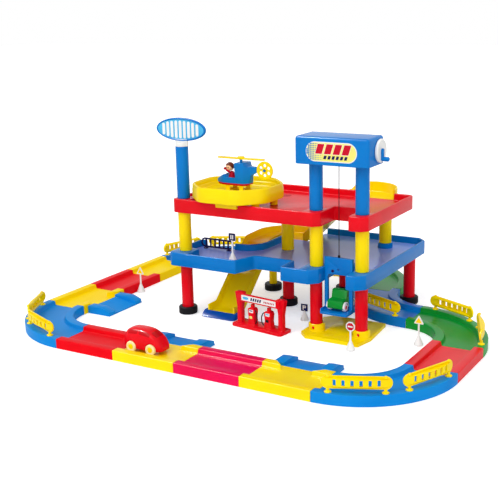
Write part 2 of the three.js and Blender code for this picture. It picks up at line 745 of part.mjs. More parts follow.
/** A column with a spigot at each end that has one. */
function column(x, y, radius, low, high, { below = true, above = true } = {}) {
  const profile = [[0, below ? low - SPIGOT_LENGTH : low]];
  if (below) {
    profile.push([SPIGOT_RADIUS, low - SPIGOT_LENGTH], [SPIGOT_RADIUS, low]);
  }
  profile.push([radius, low], [radius, high]);
  if (above) {
    profile.push([SPIGOT_RADIUS, high], [SPIGOT_RADIUS, high + SPIGOT_LENGTH]);
  }
  profile.push([0, above ? high + SPIGOT_LENGTH : high]);
  return turned(x, y, profile);
}

/** A leg in its round rubber foot. */
function footed(x, y, radius, high) {
  const foot = turned(x, y, [
    [0, 0], [FOOT_RADIUS - EDGE_BEVEL, 0], [FOOT_RADIUS, EDGE_BEVEL],
    [FOOT_RADIUS, FOOT_HEIGHT - EDGE_BEVEL], [FOOT_RADIUS - EDGE_BEVEL, FOOT_HEIGHT], [0, FOOT_HEIGHT],
  ]);
  const shaft = column(x, y, radius, FOOT_HEIGHT - EDGE_BEVEL - SPIGOT_LENGTH, high, { below: false });
  return join(foot, shaft);
}

/** The hole that takes a spigot, upwards or downwards from a face. */
const socketUp = (x, y, z) => rod(x, y, SPIGOT_HOLE, z - OVERRUN, z + SPIGOT_HOLE_DEPTH, SOCKET_STEPS);
const socketDown = (x, y, z) => rod(x, y, SPIGOT_HOLE, z - SPIGOT_HOLE_DEPTH, z + OVERRUN, SOCKET_STEPS);

const liftLeftX = LIFT_X - LIFT_HALF_SPACING;
const liftRightX = LIFT_X + LIFT_HALF_SPACING;
const legTop = MID_BOTTOM - CLEARANCE;
const slideUnder = SLIDE_SKIN + SOCKET_WALL;

build('leg_left', footed(LEFT_COLUMN_X, FRONT_COLUMN_Y, LEG_RADIUS, legTop), RED);
build('leg_middle', footed(MIDDLE_COLUMN_X, MIDDLE_COLUMN_Y, LEG_RADIUS, legTop), RED);
build('leg_rear', footed(REAR_LEG_X, REAR_LEG_Y, LEG_RADIUS, legTop), RED);
build('leg_right', footed(RIGHT_LEG_X, RIGHT_LEG_Y, LEG_RADIUS, legTop), RED);

const columnRange = [MID_TOP + CLEARANCE, UPPER_BOTTOM - CLEARANCE];
build('column_left', column(LEFT_COLUMN_X, FRONT_COLUMN_Y, COLUMN_RADIUS, ...columnRange), YELLOW);
build('column_lift_left', column(liftLeftX, LIFT_Y, COLUMN_RADIUS, ...columnRange), YELLOW);
build('column_lift_right', column(liftRightX, LIFT_Y, COLUMN_RADIUS, ...columnRange), YELLOW);
build('column_middle', column(
  MIDDLE_COLUMN_X, MIDDLE_COLUMN_Y, COLUMN_RADIUS, MID_FLOOR + CLEARANCE, UPPER_BOTTOM - CLEARANCE,
), YELLOW);

const upperLow = UPPER_TOP + CLEARANCE;
build('post_tower', column(LEFT_COLUMN_X, FRONT_COLUMN_Y, COLUMN_RADIUS, upperLow, TOWER_TOP), BLUE);
for (const [name, x] of [['post_lift_left', liftLeftX], ['post_lift_right', liftRightX]]) {
  build(name, column(x, LIFT_Y, COLUMN_RADIUS, upperLow, HEAD_BOTTOM + HEAD_WALL - CLEARANCE), BLUE);
}

// Decks

/** A moulded deck: a floor with a rim above and below it, and the solid blocks that carry the columns. */
function deck(corners, floor, pads, bosses) {
  const low = floor - RIM_BELOW;
  const high = floor + RIM_ABOVE;
  const inner = rounded(inset(corners, RIM_THICK), DECK_STEPS);
  const whole = prism(rounded(corners, DECK_STEPS), low, high);
  const tray = prism(inner, floor, high + OVERRUN);
  const under = prism(inner, low - OVERRUN, floor - DECK_SKIN);
  const blocks = pads.map(([x0, y0, x1, y1]) => block(x0, y0, low, x1, y1, high).intersect(whole));
  const stubs = bosses.map(([x, y]) => rod(x, y, BOSS_RADIUS, low, floor - DECK_SKIN / 2, BOSS_STEPS));
  return join(cut(whole, tray, under), ...blocks, ...stubs);
}

/** Ribs under a deck, on a square grid, clipped to the deck's outline. */
function ribs(corners, floor, xs, ys) {
  const top = floor - DECK_SKIN / 2;
  const low = floor - DECK_SKIN - RIB_DEPTH;
  const area = prism(rounded(inset(corners, RIM_THICK / 2)), low, top);
  const bars = [
    ...xs.map((x) => block(x - RIB_THICK / 2, -HALF_Y, low, x + RIB_THICK / 2, HALF_Y, top)),
    ...ys.map((y) => block(-HALF_X, y - RIB_THICK / 2, low, HALF_X, y + RIB_THICK / 2, top)),
  ];
  return join(...bars).intersect(area);
}

const shaftLeft = LIFT_X - SHAFT_HALF_WIDTH;
const shaftRight = LIFT_X + SHAFT_HALF_WIDTH;
const midFrontStep = MID_FRONT + MID_SETBACK;
const midSlideEdge = SLIDE_NEAR - CLEARANCE;
const midCorners = [
  [MID_LEFT, MID_FRONT, DECK_CORNER_RADIUS],
  [MID_LOBE_RIGHT, MID_FRONT, SMALL_ROUND],
  [MID_LOBE_RIGHT + MID_LOBE_SLANT, midFrontStep, DECK_CORNER_RADIUS],
  [MID_TONGUE_LEFT, midFrontStep, RIM_THICK],
  [MID_TONGUE_LEFT, MID_FRONT, SMALL_ROUND],
  [shaftLeft - MID_TONGUE_SLANT, MID_FRONT, SMALL_ROUND],
  [shaftLeft, MID_FRONT + MID_TONGUE_SLANT, SMALL_ROUND],
  [shaftLeft, SHAFT_REAR, SHAFT_ROUND],
  [shaftRight, SHAFT_REAR, SHAFT_ROUND],
  [shaftRight, MID_FRONT, SMALL_ROUND],
  [DECK_RIGHT - MID_TONGUE_SLANT, MID_FRONT, SMALL_ROUND],
  [DECK_RIGHT, MID_FRONT + MID_TONGUE_SLANT, SMALL_ROUND],
  [DECK_RIGHT, MID_REAR - DECK_CHAMFER, DECK_CORNER_RADIUS],
  [DECK_RIGHT - DECK_CHAMFER, MID_REAR, DECK_CORNER_RADIUS],
  [MID_GAP_RIGHT, MID_REAR, 0],
  [MID_GAP_RIGHT, midSlideEdge, 0],
  [MID_INNER_LEFT, midSlideEdge, SMALL_ROUND],
  [MID_INNER_LEFT, MID_LOBE_REAR, MID_LOBE_FILLET],
  [MID_LEFT, MID_LOBE_REAR, DECK_CORNER_RADIUS],
];
const midPads = [
  [MID_LEFT, MID_FRONT, LEFT_COLUMN_X + CAP_REACH, FRONT_COLUMN_Y + CAP_REACH],
  [liftLeftX - CAP_REACH, MID_FRONT, shaftLeft, LIFT_Y + CAP_REACH],
  [shaftRight, MID_FRONT, DECK_RIGHT, LIFT_Y + CAP_REACH],
];
const midBosses = [[MIDDLE_COLUMN_X, MIDDLE_COLUMN_Y], [REAR_LEG_X, REAR_LEG_Y], [RIGHT_LEG_X, RIGHT_LEG_Y]];
const exitColumnX = UPPER_SLIDE_X;
const exitColumnY = UPPER_REAR + SLIDE_HALF - SLIDE_WALL;
const ringTop = MID_FLOOR + SOCKET_RING;
const midRibXs = [
  (MID_LEFT + MID_LOBE_RIGHT) / 2, (MIDDLE_COLUMN_X + REAR_LEG_X) / 2, (REAR_LEG_X + DECK_RIGHT) / 2,
];
const midRibYs = [
  (MID_FRONT + MID_LOBE_REAR) / 2, MIDDLE_COLUMN_Y - COLUMN_RADIUS, (MIDDLE_COLUMN_Y + REAR_LEG_Y) / 2,
];
const midDeck = cut(
  join(
    deck(midCorners, MID_FLOOR, midPads, [...midBosses, [exitColumnX, exitColumnY]]),
    ribs(midCorners, MID_FLOOR, midRibXs, midRibYs),
    rod(
      exitColumnX, exitColumnY, COLUMN_RADIUS + SOCKET_WALL, MID_FLOOR - DECK_SKIN / 2, ringTop, BOSS_STEPS,
    ),
  ),
  block(
    MID_INNER_LEFT - OVERRUN, midSlideEdge - RIM_THICK - SMALL_ROUND, MID_FLOOR,
    MID_GAP_RIGHT + RIM_THICK + OVERRUN, MID_REAR + OVERRUN, MID_TOP + OVERRUN,
  ),
  ...[[LEFT_COLUMN_X, FRONT_COLUMN_Y], [liftLeftX, LIFT_Y], [liftRightX, LIFT_Y]]
    .flatMap(([x, y]) => [socketUp(x, y, MID_BOTTOM), socketDown(x, y, MID_TOP)]),
  ...midBosses.map(([x, y]) => socketUp(x, y, MID_BOTTOM)),
  socketDown(MIDDLE_COLUMN_X, MIDDLE_COLUMN_Y, MID_FLOOR),
  socketDown(exitColumnX, exitColumnY, ringTop),
);
build('deck_mid', midDeck, BLUE);

const upperCorners = [
  [UPPER_LEFT, UPPER_FRONT, DECK_CORNER_RADIUS],
  [shaftLeft - UPPER_SLANT, UPPER_FRONT, SMALL_ROUND],
  [shaftLeft, UPPER_FRONT + UPPER_SLANT, SMALL_ROUND],
  [shaftLeft, SHAFT_REAR, SHAFT_ROUND],
  [shaftRight, SHAFT_REAR, SHAFT_ROUND],
  [shaftRight, UPPER_FRONT, SMALL_ROUND],
  [DECK_RIGHT - UPPER_SLANT, UPPER_FRONT, SMALL_ROUND],
  [DECK_RIGHT, UPPER_FRONT + UPPER_SLANT, SMALL_ROUND],
  [DECK_RIGHT, UPPER_REAR, DECK_CORNER_RADIUS],
  [UPPER_LEFT, UPPER_REAR, DECK_CORNER_RADIUS],
];
const upperPads = [
  [UPPER_LEFT, UPPER_FRONT, LEFT_COLUMN_X + CAP_REACH, FRONT_COLUMN_Y + CAP_REACH],
  [liftLeftX - CAP_REACH, UPPER_FRONT, shaftLeft, LIFT_Y + CAP_REACH],
  [shaftRight, UPPER_FRONT, DECK_RIGHT, LIFT_Y + CAP_REACH],
];
const upperRibXs = [(UPPER_LEFT + MIDDLE_COLUMN_X) / 2, (MIDDLE_COLUMN_X + shaftLeft) / 2];
const upperRibYs = [(UPPER_FRONT + MIDDLE_COLUMN_Y) / 2, (MIDDLE_COLUMN_Y + UPPER_REAR) / 2];
const mouthLeft = UPPER_SLIDE_X - SLIDE_HALF;
const mouthRight = UPPER_SLIDE_X + SLIDE_HALF;
const upperDeck = cut(
  join(
    deck(upperCorners, UPPER_FLOOR, upperPads, [[MIDDLE_COLUMN_X, MIDDLE_COLUMN_Y]]),
    ribs(upperCorners, UPPER_FLOOR, upperRibXs, upperRibYs),
  ),
  block(
    mouthLeft, UPPER_REAR - RIM_THICK - OVERRUN, UPPER_FLOOR,
    mouthRight, UPPER_REAR + OVERRUN, UPPER_TOP + OVERRUN,
  ),
  block(
    PAD_X - UPPER_DIP_LENGTH / 2, UPPER_FRONT - OVERRUN, UPPER_TOP - UPPER_DIP,
    PAD_X + UPPER_DIP_LENGTH / 2, UPPER_FRONT + RIM_THICK + OVERRUN, UPPER_TOP + OVERRUN,
  ),
  ...[[LEFT_COLUMN_X, FRONT_COLUMN_Y], [liftLeftX, LIFT_Y], [liftRightX, LIFT_Y]]
    .flatMap(([x, y]) => [socketUp(x, y, UPPER_BOTTOM), socketDown(x, y, UPPER_TOP)]),
  socketUp(MIDDLE_COLUMN_X, MIDDLE_COLUMN_Y, UPPER_BOTTOM),
);
build('deck_upper', upperDeck, RED);

// Slides

const slideSection = [
  point2(-SLIDE_HALF, -SLIDE_SKIN),
  point2(SLIDE_HALF, -SLIDE_SKIN),
  point2(SLIDE_HALF, SLIDE_WALL_HEIGHT),
  point2(SLIDE_HALF - SLIDE_WALL, SLIDE_WALL_HEIGHT),
  point2(SLIDE_HALF - SLIDE_WALL, 0),
  point2(-SLIDE_HALF + SLIDE_WALL, 0),
  point2(-SLIDE_HALF + SLIDE_WALL, SLIDE_WALL_HEIGHT),
  point2(-SLIDE_HALF, SLIDE_WALL_HEIGHT),
];

/** Share of the drop at a share t of the run: level at both ends, straight between. */
function drop(t) {
  const ease = SLIDE_EASE_SHARE;
  const steep = 1 / (1 - ease);
  if (t < ease) return (steep * t * t) / (2 * ease);
  if (t > 1 - ease) return 1 - (steep * (1 - t) * (1 - t)) / (2 * ease);
  return steep * (t - ease / 2);
}

/** Stations of a chute: heading is the level direction, from a start down by fall over run. */
function chute(start, heading, run, fall) {
  const ease = SLIDE_EASE_SHARE;
  const shares = [0, ease / 2, ease, 1 - ease, 1 - ease / 2, 1];
  const side = heading.clone().cross(Z_AXIS);
  return shares.map((t) => {
    const slope = t < ease / 4 || t > 1 - ease / 4
      ? 0 : ((drop(t + ease / 8) - drop(t - ease / 8)) / (ease / 4)) * (fall / run);
    const up = Z_AXIS.clone().addScaledVector(heading, slope).normalize();
    const at = start.clone().addScaledVector(heading, run * t);
    at.z -= fall * drop(t);
    return { at, side, up };
  });
}

/** Stations of a level quarter turn to the left about a pivot, from one angle on. */
function quarter(pivotX, pivotY, z, from) {
  const radius = SLIDE_TURN_INNER + SLIDE_HALF;
  const stations = [];
  for (let k = 0; k <= TURN_STEPS; k += 1) {
    const angle = from + ((Math.PI / 2) * k) / TURN_STEPS;
    const out = new THREE.Vector3(Math.cos(angle), Math.sin(angle), 0);
    const at = new THREE.Vector3(pivotX, pivotY, z).addScaledVector(out, radius);
    stations.push({ at, side: out, up: Z_AXIS });
  }
  return stations;
}

/** The boss under a chute that stands on a post. */
const slideBoss = (x, y, z) => rod(x, y, COLUMN_RADIUS, z - slideUnder, z - SLIDE_SKIN / 2);

const west = X_AXIS.clone().negate();
const south = Y_AXIS.clone().negate();
const upperRoute = [
  ...quarter(UPPER_PIVOT_X, UPPER_REAR, UPPER_FLOOR, 0),
  ...chute(
    new THREE.Vector3(UPPER_SLIDE_BRINK, SLIDE_MIDDLE, UPPER_FLOOR), west,
    UPPER_SLIDE_BRINK - UPPER_SLIDE_END, UPPER_FLOOR - MID_FLOOR,
  ),
];
upperRoute[0].at.y += CLEARANCE;
const upperSlide = join(sweep(slideSection, upperRoute), slideBoss(exitColumnX, exitColumnY, UPPER_FLOOR));
build('slide_upper', cut(upperSlide, socketUp(exitColumnX, exitColumnY, UPPER_FLOOR - slideUnder)), YELLOW);

const lowRun = LOWER_SLIDE_BRINK - LOWER_SLIDE_LOW;
const lowerRoute = [
  { at: new THREE.Vector3(UPPER_SLIDE_END - CLEARANCE, SLIDE_MIDDLE, MID_FLOOR), side: Y_AXIS, up: Z_AXIS },
  ...quarter(LOWER_PIVOT_X, UPPER_REAR, MID_FLOOR, Math.PI / 2),
  ...chute(
    new THREE.Vector3(LOWER_SLIDE_X, LOWER_SLIDE_BRINK, MID_FLOOR), south,
    lowRun, MID_FLOOR - LOWER_SLIDE_TOE,
  ),
  { at: new THREE.Vector3(LOWER_SLIDE_X, LOWER_SLIDE_END, LOWER_SLIDE_TOE), side: west, up: Z_AXIS },
];
const thinPostY = UPPER_REAR + SLIDE_TURN_INNER;
const lowerSlide = cut(
  join(sweep(slideSection, lowerRoute), slideBoss(LOWER_SLIDE_X, thinPostY, MID_FLOOR)),
  block(
    LOWER_PIVOT_X, SLIDE_NEAR - OVERRUN, MID_FLOOR,
    UPPER_SLIDE_END + OVERRUN, SLIDE_NEAR + SLIDE_WALL, MID_FLOOR + SLIDE_WALL_HEIGHT + OVERRUN,
  ),
  socketUp(LOWER_SLIDE_X, thinPostY, MID_FLOOR - slideUnder),
);
build('slide_lower', lowerSlide, YELLOW);
const thinPost = footed(LOWER_SLIDE_X, thinPostY, THIN_POST_RADIUS, MID_FLOOR - slideUnder - CLEARANCE);
build('post_slide', thinPost, YELLOW);
build('column_exit', column(
  exitColumnX, exitColumnY, COLUMN_RADIUS, ringTop + CLEARANCE, UPPER_FLOOR - slideUnder - CLEARANCE,
), YELLOW);

// The slide's foot: a tray with a sloping toe in front and cheeks on both sides
const footHalf = SLIDE_HALF + SLIDE_FOOT_MARGIN;
const footRear = LOWER_SLIDE_END + SLIDE_FOOT_DEPTH - 2 * SLIDE_FOOT_MARGIN;
const footFront = LOWER_SLIDE_END - 2 * SLIDE_FOOT_MARGIN;
const footBody = alongX([
  point2(footFront, 0), point2(footRear, 0), point2(footRear, SLIDE_FOOT_HEIGHT),
  point2(LOWER_SLIDE_END, SLIDE_FOOT_HEIGHT), point2(footFront, SLIDE_FOOT_TOE),
], LOWER_SLIDE_X - footHalf, LOWER_SLIDE_X + footHalf);
const footPlan = prism(rounded([
  [LOWER_SLIDE_X - footHalf, footFront, SLIDE_FOOT_MARGIN],
  [LOWER_SLIDE_X + footHalf, footFront, SLIDE_FOOT_MARGIN],
  [LOWER_SLIDE_X + footHalf, footRear, SLIDE_FOOT_MARGIN],
  [LOWER_SLIDE_X - footHalf, footRear, SLIDE_FOOT_MARGIN],
]), 0, SLIDE_FOOT_HEIGHT);
const footPocket = block(
  LOWER_SLIDE_X - SLIDE_HALF - CLEARANCE, LOWER_SLIDE_END - CLEARANCE,
  LOWER_SLIDE_TOE - SLIDE_SKIN - CLEARANCE,
  LOWER_SLIDE_X + SLIDE_HALF + CLEARANCE, footRear + OVERRUN, SLIDE_FOOT_HEIGHT + OVERRUN,
);
const footBlocks = cut(footBody.intersect(footPlan), footPocket);
build('slide_foot', footBlocks, BLUE);

// Lift base

const baseLeft = liftLeftX - BASE_MARGIN;
const baseRight = liftRightX + BASE_MARGIN / 2;
const baseCorners = [
  [baseLeft + BASE_CHAMFER, BASE_FRONT], [baseRight, BASE_FRONT],
  [liftRightX + BASE_SOCKET_RADIUS + HEAD_WALL, LIFT_Y], [baseRight, BASE_REAR],
  [baseLeft + BASE_CHAMFER, BASE_REAR], [baseLeft, BASE_REAR - BASE_CHAMFER],
  [baseLeft, BASE_FRONT + BASE_CHAMFER],
];
const basePlan = rounded(baseCorners);
const baseInner = rounded(inset(baseCorners, HEAD_WALL));
const landing = alongX([
  point2(BASE_FRONT + BASE_CHAMFER, 0), point2(BASE_REAR - BASE_CHAMFER, 0),
  point2(BASE_REAR - 2 * BASE_CHAMFER, BASE_SKIN + BASE_LANDING_HEIGHT),
  point2(BASE_FRONT + 2 * BASE_CHAMFER, BASE_SKIN + BASE_LANDING_HEIGHT),
], shaftLeft + CABIN_RAIL, shaftRight - CABIN_RAIL);
const socketRings = [liftLeftX, liftRightX].map((x) => turned(x, LIFT_Y, [
  [0, 0], [BASE_SOCKET_RADIUS, 0], [BASE_SOCKET_RADIUS, BASE_SOCKET_HEIGHT - EDGE_BEVEL],
  [BASE_SOCKET_RADIUS - EDGE_BEVEL, BASE_SOCKET_HEIGHT], [0, BASE_SOCKET_HEIGHT],
]));
const legBores = [liftLeftX, liftRightX].map((x) => (
  rod(x, LIFT_Y, LEG_RADIUS + CLEARANCE, BASE_SKIN, BASE_SOCKET_HEIGHT + OVERRUN)));
const snapHoles = [liftLeftX, liftRightX].map((x) => turnedY(x, BASE_SOCKET_HEIGHT / 2 + HEAD_WALL, [
  [0, LIFT_Y - BASE_SOCKET_RADIUS - OVERRUN], [SNAP_HOLE_RADIUS, LIFT_Y - BASE_SOCKET_RADIUS - OVERRUN],
  [SNAP_HOLE_RADIUS, LIFT_Y], [0, LIFT_Y],
], SMALL_STEPS));
const liftBase = cut(
  join(
    cut(prism(basePlan, 0, BASE_SKIN), prism(baseInner, -OVERRUN, BASE_SKIN - HEAD_WALL)),
    cut(landing, block(
      shaftLeft, BASE_FRONT, -OVERRUN, shaftRight, BASE_REAR, BASE_SKIN - HEAD_WALL,
    )),
    ...socketRings,
  ),
  ...legBores,
  ...snapHoles,
);
build('lift_base', liftBase, YELLOW);

/** A lift leg: a tube end in the base's socket, with its snap button, and a spigot under the deck. */
function liftLeg(x) {
  const button = turnedY(x, BASE_SOCKET_HEIGHT / 2 + HEAD_WALL, [
    [0, LIFT_Y - BASE_SOCKET_RADIUS], [SNAP_HOLE_RADIUS - CLEARANCE, LIFT_Y - BASE_SOCKET_RADIUS],
    [SNAP_HOLE_RADIUS - CLEARANCE, LIFT_Y], [0, LIFT_Y],
  ], SMALL_STEPS);
  return join(column(x, LIFT_Y, LEG_RADIUS, BASE_SKIN + CLEARANCE, legTop, { below: false }), button);
}
build('leg_lift_left', liftLeg(liftLeftX), RED);
build('leg_lift_right', liftLeg(liftRightX), RED);

// Lift head: a hood that is open below, on the two posts

const headLeft = LIFT_X - HEAD_LENGTH / 2;
const headRight = LIFT_X + HEAD_LENGTH / 2;
const headFront = LIFT_Y - HEAD_DEPTH / 2;
const headRear = LIFT_Y + HEAD_DEPTH / 2;
const winchY = LIFT_Y + DRUM_RADIUS + CORD_RADIUS + CLEARANCE;
const winchZ = HEAD_BOTTOM + HEAD_HEIGHT / 2;
const hood = alongY(rounded([
  [headLeft, HEAD_BOTTOM, 0], [headRight, HEAD_BOTTOM, 0],
  [headRight, HEAD_TOP, HEAD_ROUND], [headLeft, HEAD_TOP, HEAD_ROUND],
]), headFront, headRear);
const hoodSide = alongX(rounded([
  [headFront, HEAD_BOTTOM, 0], [headRear, HEAD_BOTTOM, 0],
  [headRear, HEAD_TOP, HEAD_ROUND / 2], [headFront, HEAD_TOP, HEAD_ROUND / 2],
]), headLeft, headRight);
const hollow = block(
  headLeft + HEAD_WALL, headFront + HEAD_WALL, HEAD_BOTTOM - OVERRUN,
  headRight - HEAD_WALL, headRear - HEAD_WALL, HEAD_TOP - HEAD_WALL,
);
const headFloor = block(headLeft, headFront, HEAD_BOTTOM, headRight, headRear, HEAD_BOTTOM + HEAD_WALL);
const cabinWell = block(
  shaftLeft, headFront + HEAD_WALL, HEAD_BOTTOM - OVERRUN,
  shaftRight, headRear - HEAD_WALL, HEAD_BOTTOM + HEAD_WALL + OVERRUN,
);
const headSocketTop = HEAD_BOTTOM + HEAD_WALL + SPIGOT_LENGTH + SOCKET_WALL;
const headSockets = [liftLeftX, liftRightX].map((x) => (
  rod(x, LIFT_Y, BOSS_RADIUS, HEAD_BOTTOM, headSocketTop, BOSS_STEPS)));
const axleHole = turnedX(winchY, winchZ, [
  [0, headLeft + HEAD_WALL - OVERRUN], [AXLE_RADIUS + CLEARANCE, headLeft + HEAD_WALL - OVERRUN],
  [AXLE_RADIUS + CLEARANCE, headRight + OVERRUN], [0, headRight + OVERRUN],
], BOSS_STEPS);
const bearings = [shaftLeft - HEAD_WALL, shaftRight].map((x) => block(
  x, winchY - AXLE_RADIUS - HEAD_WALL, winchZ - AXLE_RADIUS - HEAD_WALL,
  x + HEAD_WALL, winchY + AXLE_RADIUS + HEAD_WALL, HEAD_TOP - HEAD_WALL / 2,
));
const postSeats = [liftLeftX, liftRightX].map((x) => (
  rod(x, LIFT_Y, COLUMN_RADIUS + CLEARANCE, HEAD_BOTTOM - OVERRUN, HEAD_BOTTOM + HEAD_WALL)));
const headSpigots = [liftLeftX, liftRightX].map((x) => socketUp(x, LIFT_Y, HEAD_BOTTOM + HEAD_WALL));
const head = cut(
  join(cut(hood.intersect(hoodSide), hollow), cut(headFloor, cabinWell), ...headSockets, ...bearings),
  axleHole, ...postSeats, ...headSpigots,
);
build('lift_head', head, BLUE);

// Winch: axle, cord drum, white disc, crank arm and knob turn as one
const discX = headRight + RUNNING;
const armX = discX + CRANK_DISC_THICK;
const drumLeft = LIFT_X - DRUM_LENGTH / 2;
const drumRight = LIFT_X + DRUM_LENGTH / 2;
const winchBody = turnedX(winchY, winchZ, [
  [0, headLeft + HEAD_WALL + CLEARANCE],
  [AXLE_RADIUS, headLeft + HEAD_WALL + CLEARANCE],
  [AXLE_RADIUS, drumLeft - RIB_THICK],
  [DRUM_RADIUS + DRUM_FLANGE, drumLeft - RIB_THICK],
  [DRUM_RADIUS + DRUM_FLANGE, drumLeft],
  [DRUM_RADIUS, drumLeft],
  [DRUM_RADIUS, drumRight],
  [DRUM_RADIUS + DRUM_FLANGE, drumRight],
  [DRUM_RADIUS + DRUM_FLANGE, drumRight + RIB_THICK],
  [AXLE_RADIUS, drumRight + RIB_THICK],
  [AXLE_RADIUS, discX],
  [CRANK_DISC_RADIUS - EDGE_BEVEL, discX],
  [CRANK_DISC_RADIUS, discX + EDGE_BEVEL],
  [CRANK_DISC_RADIUS, armX - EDGE_BEVEL],
  [CRANK_DISC_RADIUS - EDGE_BEVEL, armX],
  [0, armX],
], BOSS_STEPS);
const armPlan = rounded([
  [-CRANK_ARM_WIDTH / 2, -CRANK_ARM_RADIUS - CRANK_ARM_WIDTH / 2, CRANK_ARM_WIDTH / 3],
  [CRANK_ARM_WIDTH / 2, -CRANK_ARM_RADIUS - CRANK_ARM_WIDTH / 2, CRANK_ARM_WIDTH / 3],
  [CRANK_ARM_WIDTH / 2, CRANK_ARM_WIDTH / 2, CRANK_ARM_WIDTH / 3],
  [-CRANK_ARM_WIDTH / 2, CRANK_ARM_WIDTH / 2, CRANK_ARM_WIDTH / 3],
]).map((p) => point2(p.x + winchY, p.y + winchZ));
const arm = alongX(armPlan, armX - EDGE_BEVEL, armX + CRANK_ARM_THICK);
const knob = turnedX(winchY, winchZ - CRANK_ARM_RADIUS, [
  [0, armX], [CRANK_KNOB_RADIUS - EDGE_BEVEL, armX],
  [CRANK_KNOB_RADIUS, armX + CRANK_KNOB_LENGTH - EDGE_BEVEL],
  [CRANK_KNOB_RADIUS - EDGE_BEVEL, armX + CRANK_KNOB_LENGTH], [0, armX + CRANK_KNOB_LENGTH],
], SMALL_STEPS);
build('lift_winch', join(winchBody, arm, knob), WHITE);

// Cabin: a portal that slides between the columns, with a platform that reaches out to the front
const cabinLeft = shaftLeft + RUNNING;
const cabinRight = shaftRight - RUNNING;
const cabinTop = CABIN_FLOOR + CABIN_HEIGHT;
const cabinRear = SHAFT_REAR - RUNNING - CLEARANCE;
const portalFront = LIFT_Y - CABIN_RAIL / 2;
const portalRear = LIFT_Y + CABIN_RAIL / 2;
const portal = cut(
  block(cabinLeft, portalFront, CABIN_FLOOR - CABIN_SKIN, cabinRight, portalRear, cabinTop),
  alongY(rounded([
    [cabinLeft + CABIN_RAIL, CABIN_FLOOR, 0], [cabinRight - CABIN_RAIL, CABIN_FLOOR, 0],
    [cabinRight - CABIN_RAIL, cabinTop - CABIN_PANEL, SMALL_ROUND],
    [cabinLeft + CABIN_RAIL, cabinTop - CABIN_PANEL, SMALL_ROUND],
  ]), portalFront - OVERRUN, portalRear + OVERRUN),
);
const platform = prism(rounded([
  [cabinLeft, CABIN_FRONT, SMALL_ROUND], [cabinRight, CABIN_FRONT, SMALL_ROUND],
  [cabinRight, cabinRear, 0], [cabinLeft, cabinRear, 0],
]), CABIN_FLOOR - CABIN_SKIN, CABIN_FLOOR);
const lips = [cabinLeft, cabinRight - CABIN_LIP].map((x) => block(
  x, CABIN_FRONT + SMALL_ROUND, CABIN_FLOOR - CABIN_SKIN / 2,
  x + CABIN_LIP, cabinRear, CABIN_FLOOR + CABIN_LIP_HEIGHT,
));
const peep = turnedY(LIFT_X, cabinTop - CABIN_PANEL * (1 - CABIN_HOLE_SHARE), [
  [0, portalFront - OVERRUN], [CABIN_HOLE, portalFront - OVERRUN],
  [CABIN_HOLE, portalRear + OVERRUN], [0, portalRear + OVERRUN],
], SMALL_STEPS);
build('lift_cabin', cut(join(portal, platform, ...lips), peep), BLUE);
build('lift_cord', rod(LIFT_X, LIFT_Y, CORD_RADIUS, cabinTop + CLEARANCE, winchZ, SMALL_STEPS), BLACK);

// Helipad
const padCorners = (radius) => [
  [PAD_X - PAD_LENGTH / 2, PAD_Y - PAD_DEPTH / 2 + PAD_CUT, radius],
  [PAD_X - PAD_LENGTH / 2 + PAD_CUT, PAD_Y - PAD_DEPTH / 2, radius],
  [PAD_X + PAD_LENGTH / 2 - PAD_CUT, PAD_Y - PAD_DEPTH / 2, radius],
  [PAD_X + PAD_LENGTH / 2, PAD_Y - PAD_DEPTH / 2 + PAD_CUT, radius],
  [PAD_X + PAD_LENGTH / 2, PAD_Y + PAD_DEPTH / 2 - PAD_CUT, radius],
  [PAD_X + PAD_LENGTH / 2 - PAD_CUT, PAD_Y + PAD_DEPTH / 2, radius],
  [PAD_X - PAD_LENGTH / 2 + PAD_CUT, PAD_Y + PAD_DEPTH / 2, radius],
  [PAD_X - PAD_LENGTH / 2, PAD_Y + PAD_DEPTH / 2 - PAD_CUT, radius],
];
const padPlan = padCorners(DECK_CORNER_RADIUS * 2);
const padLow = UPPER_TOP + PAD_CLEAR;
const padTop = padLow + PAD_RIM_HEIGHT;
const padFloor = padLow + PAD_FLOOR_LIFT;
const padFeet = [[-1, -1], [1, -1], [1, 1], [-1, 1]].map(([sx, sy]) => rod(
  PAD_X + sx * (PAD_LENGTH / 2 - PAD_CUT), PAD_Y + sy * (PAD_DEPTH / 2 - PAD_CUT),
  PAD_FOOT_RADIUS, UPPER_FLOOR + CLEARANCE, padFloor - PAD_SKIN / 2, SMALL_STEPS,
));
const helipad = join(
  cut(
    prism(rounded(padPlan), padLow, padTop),
    prism(rounded(inset(padPlan, PAD_WALL)), padFloor, padTop + OVERRUN),
    prism(rounded(inset(padPlan, PAD_SKIN)), padLow - OVERRUN, padFloor - PAD_SKIN),
  ),
  ...padFeet,
);
build('helipad', helipad, YELLOW);

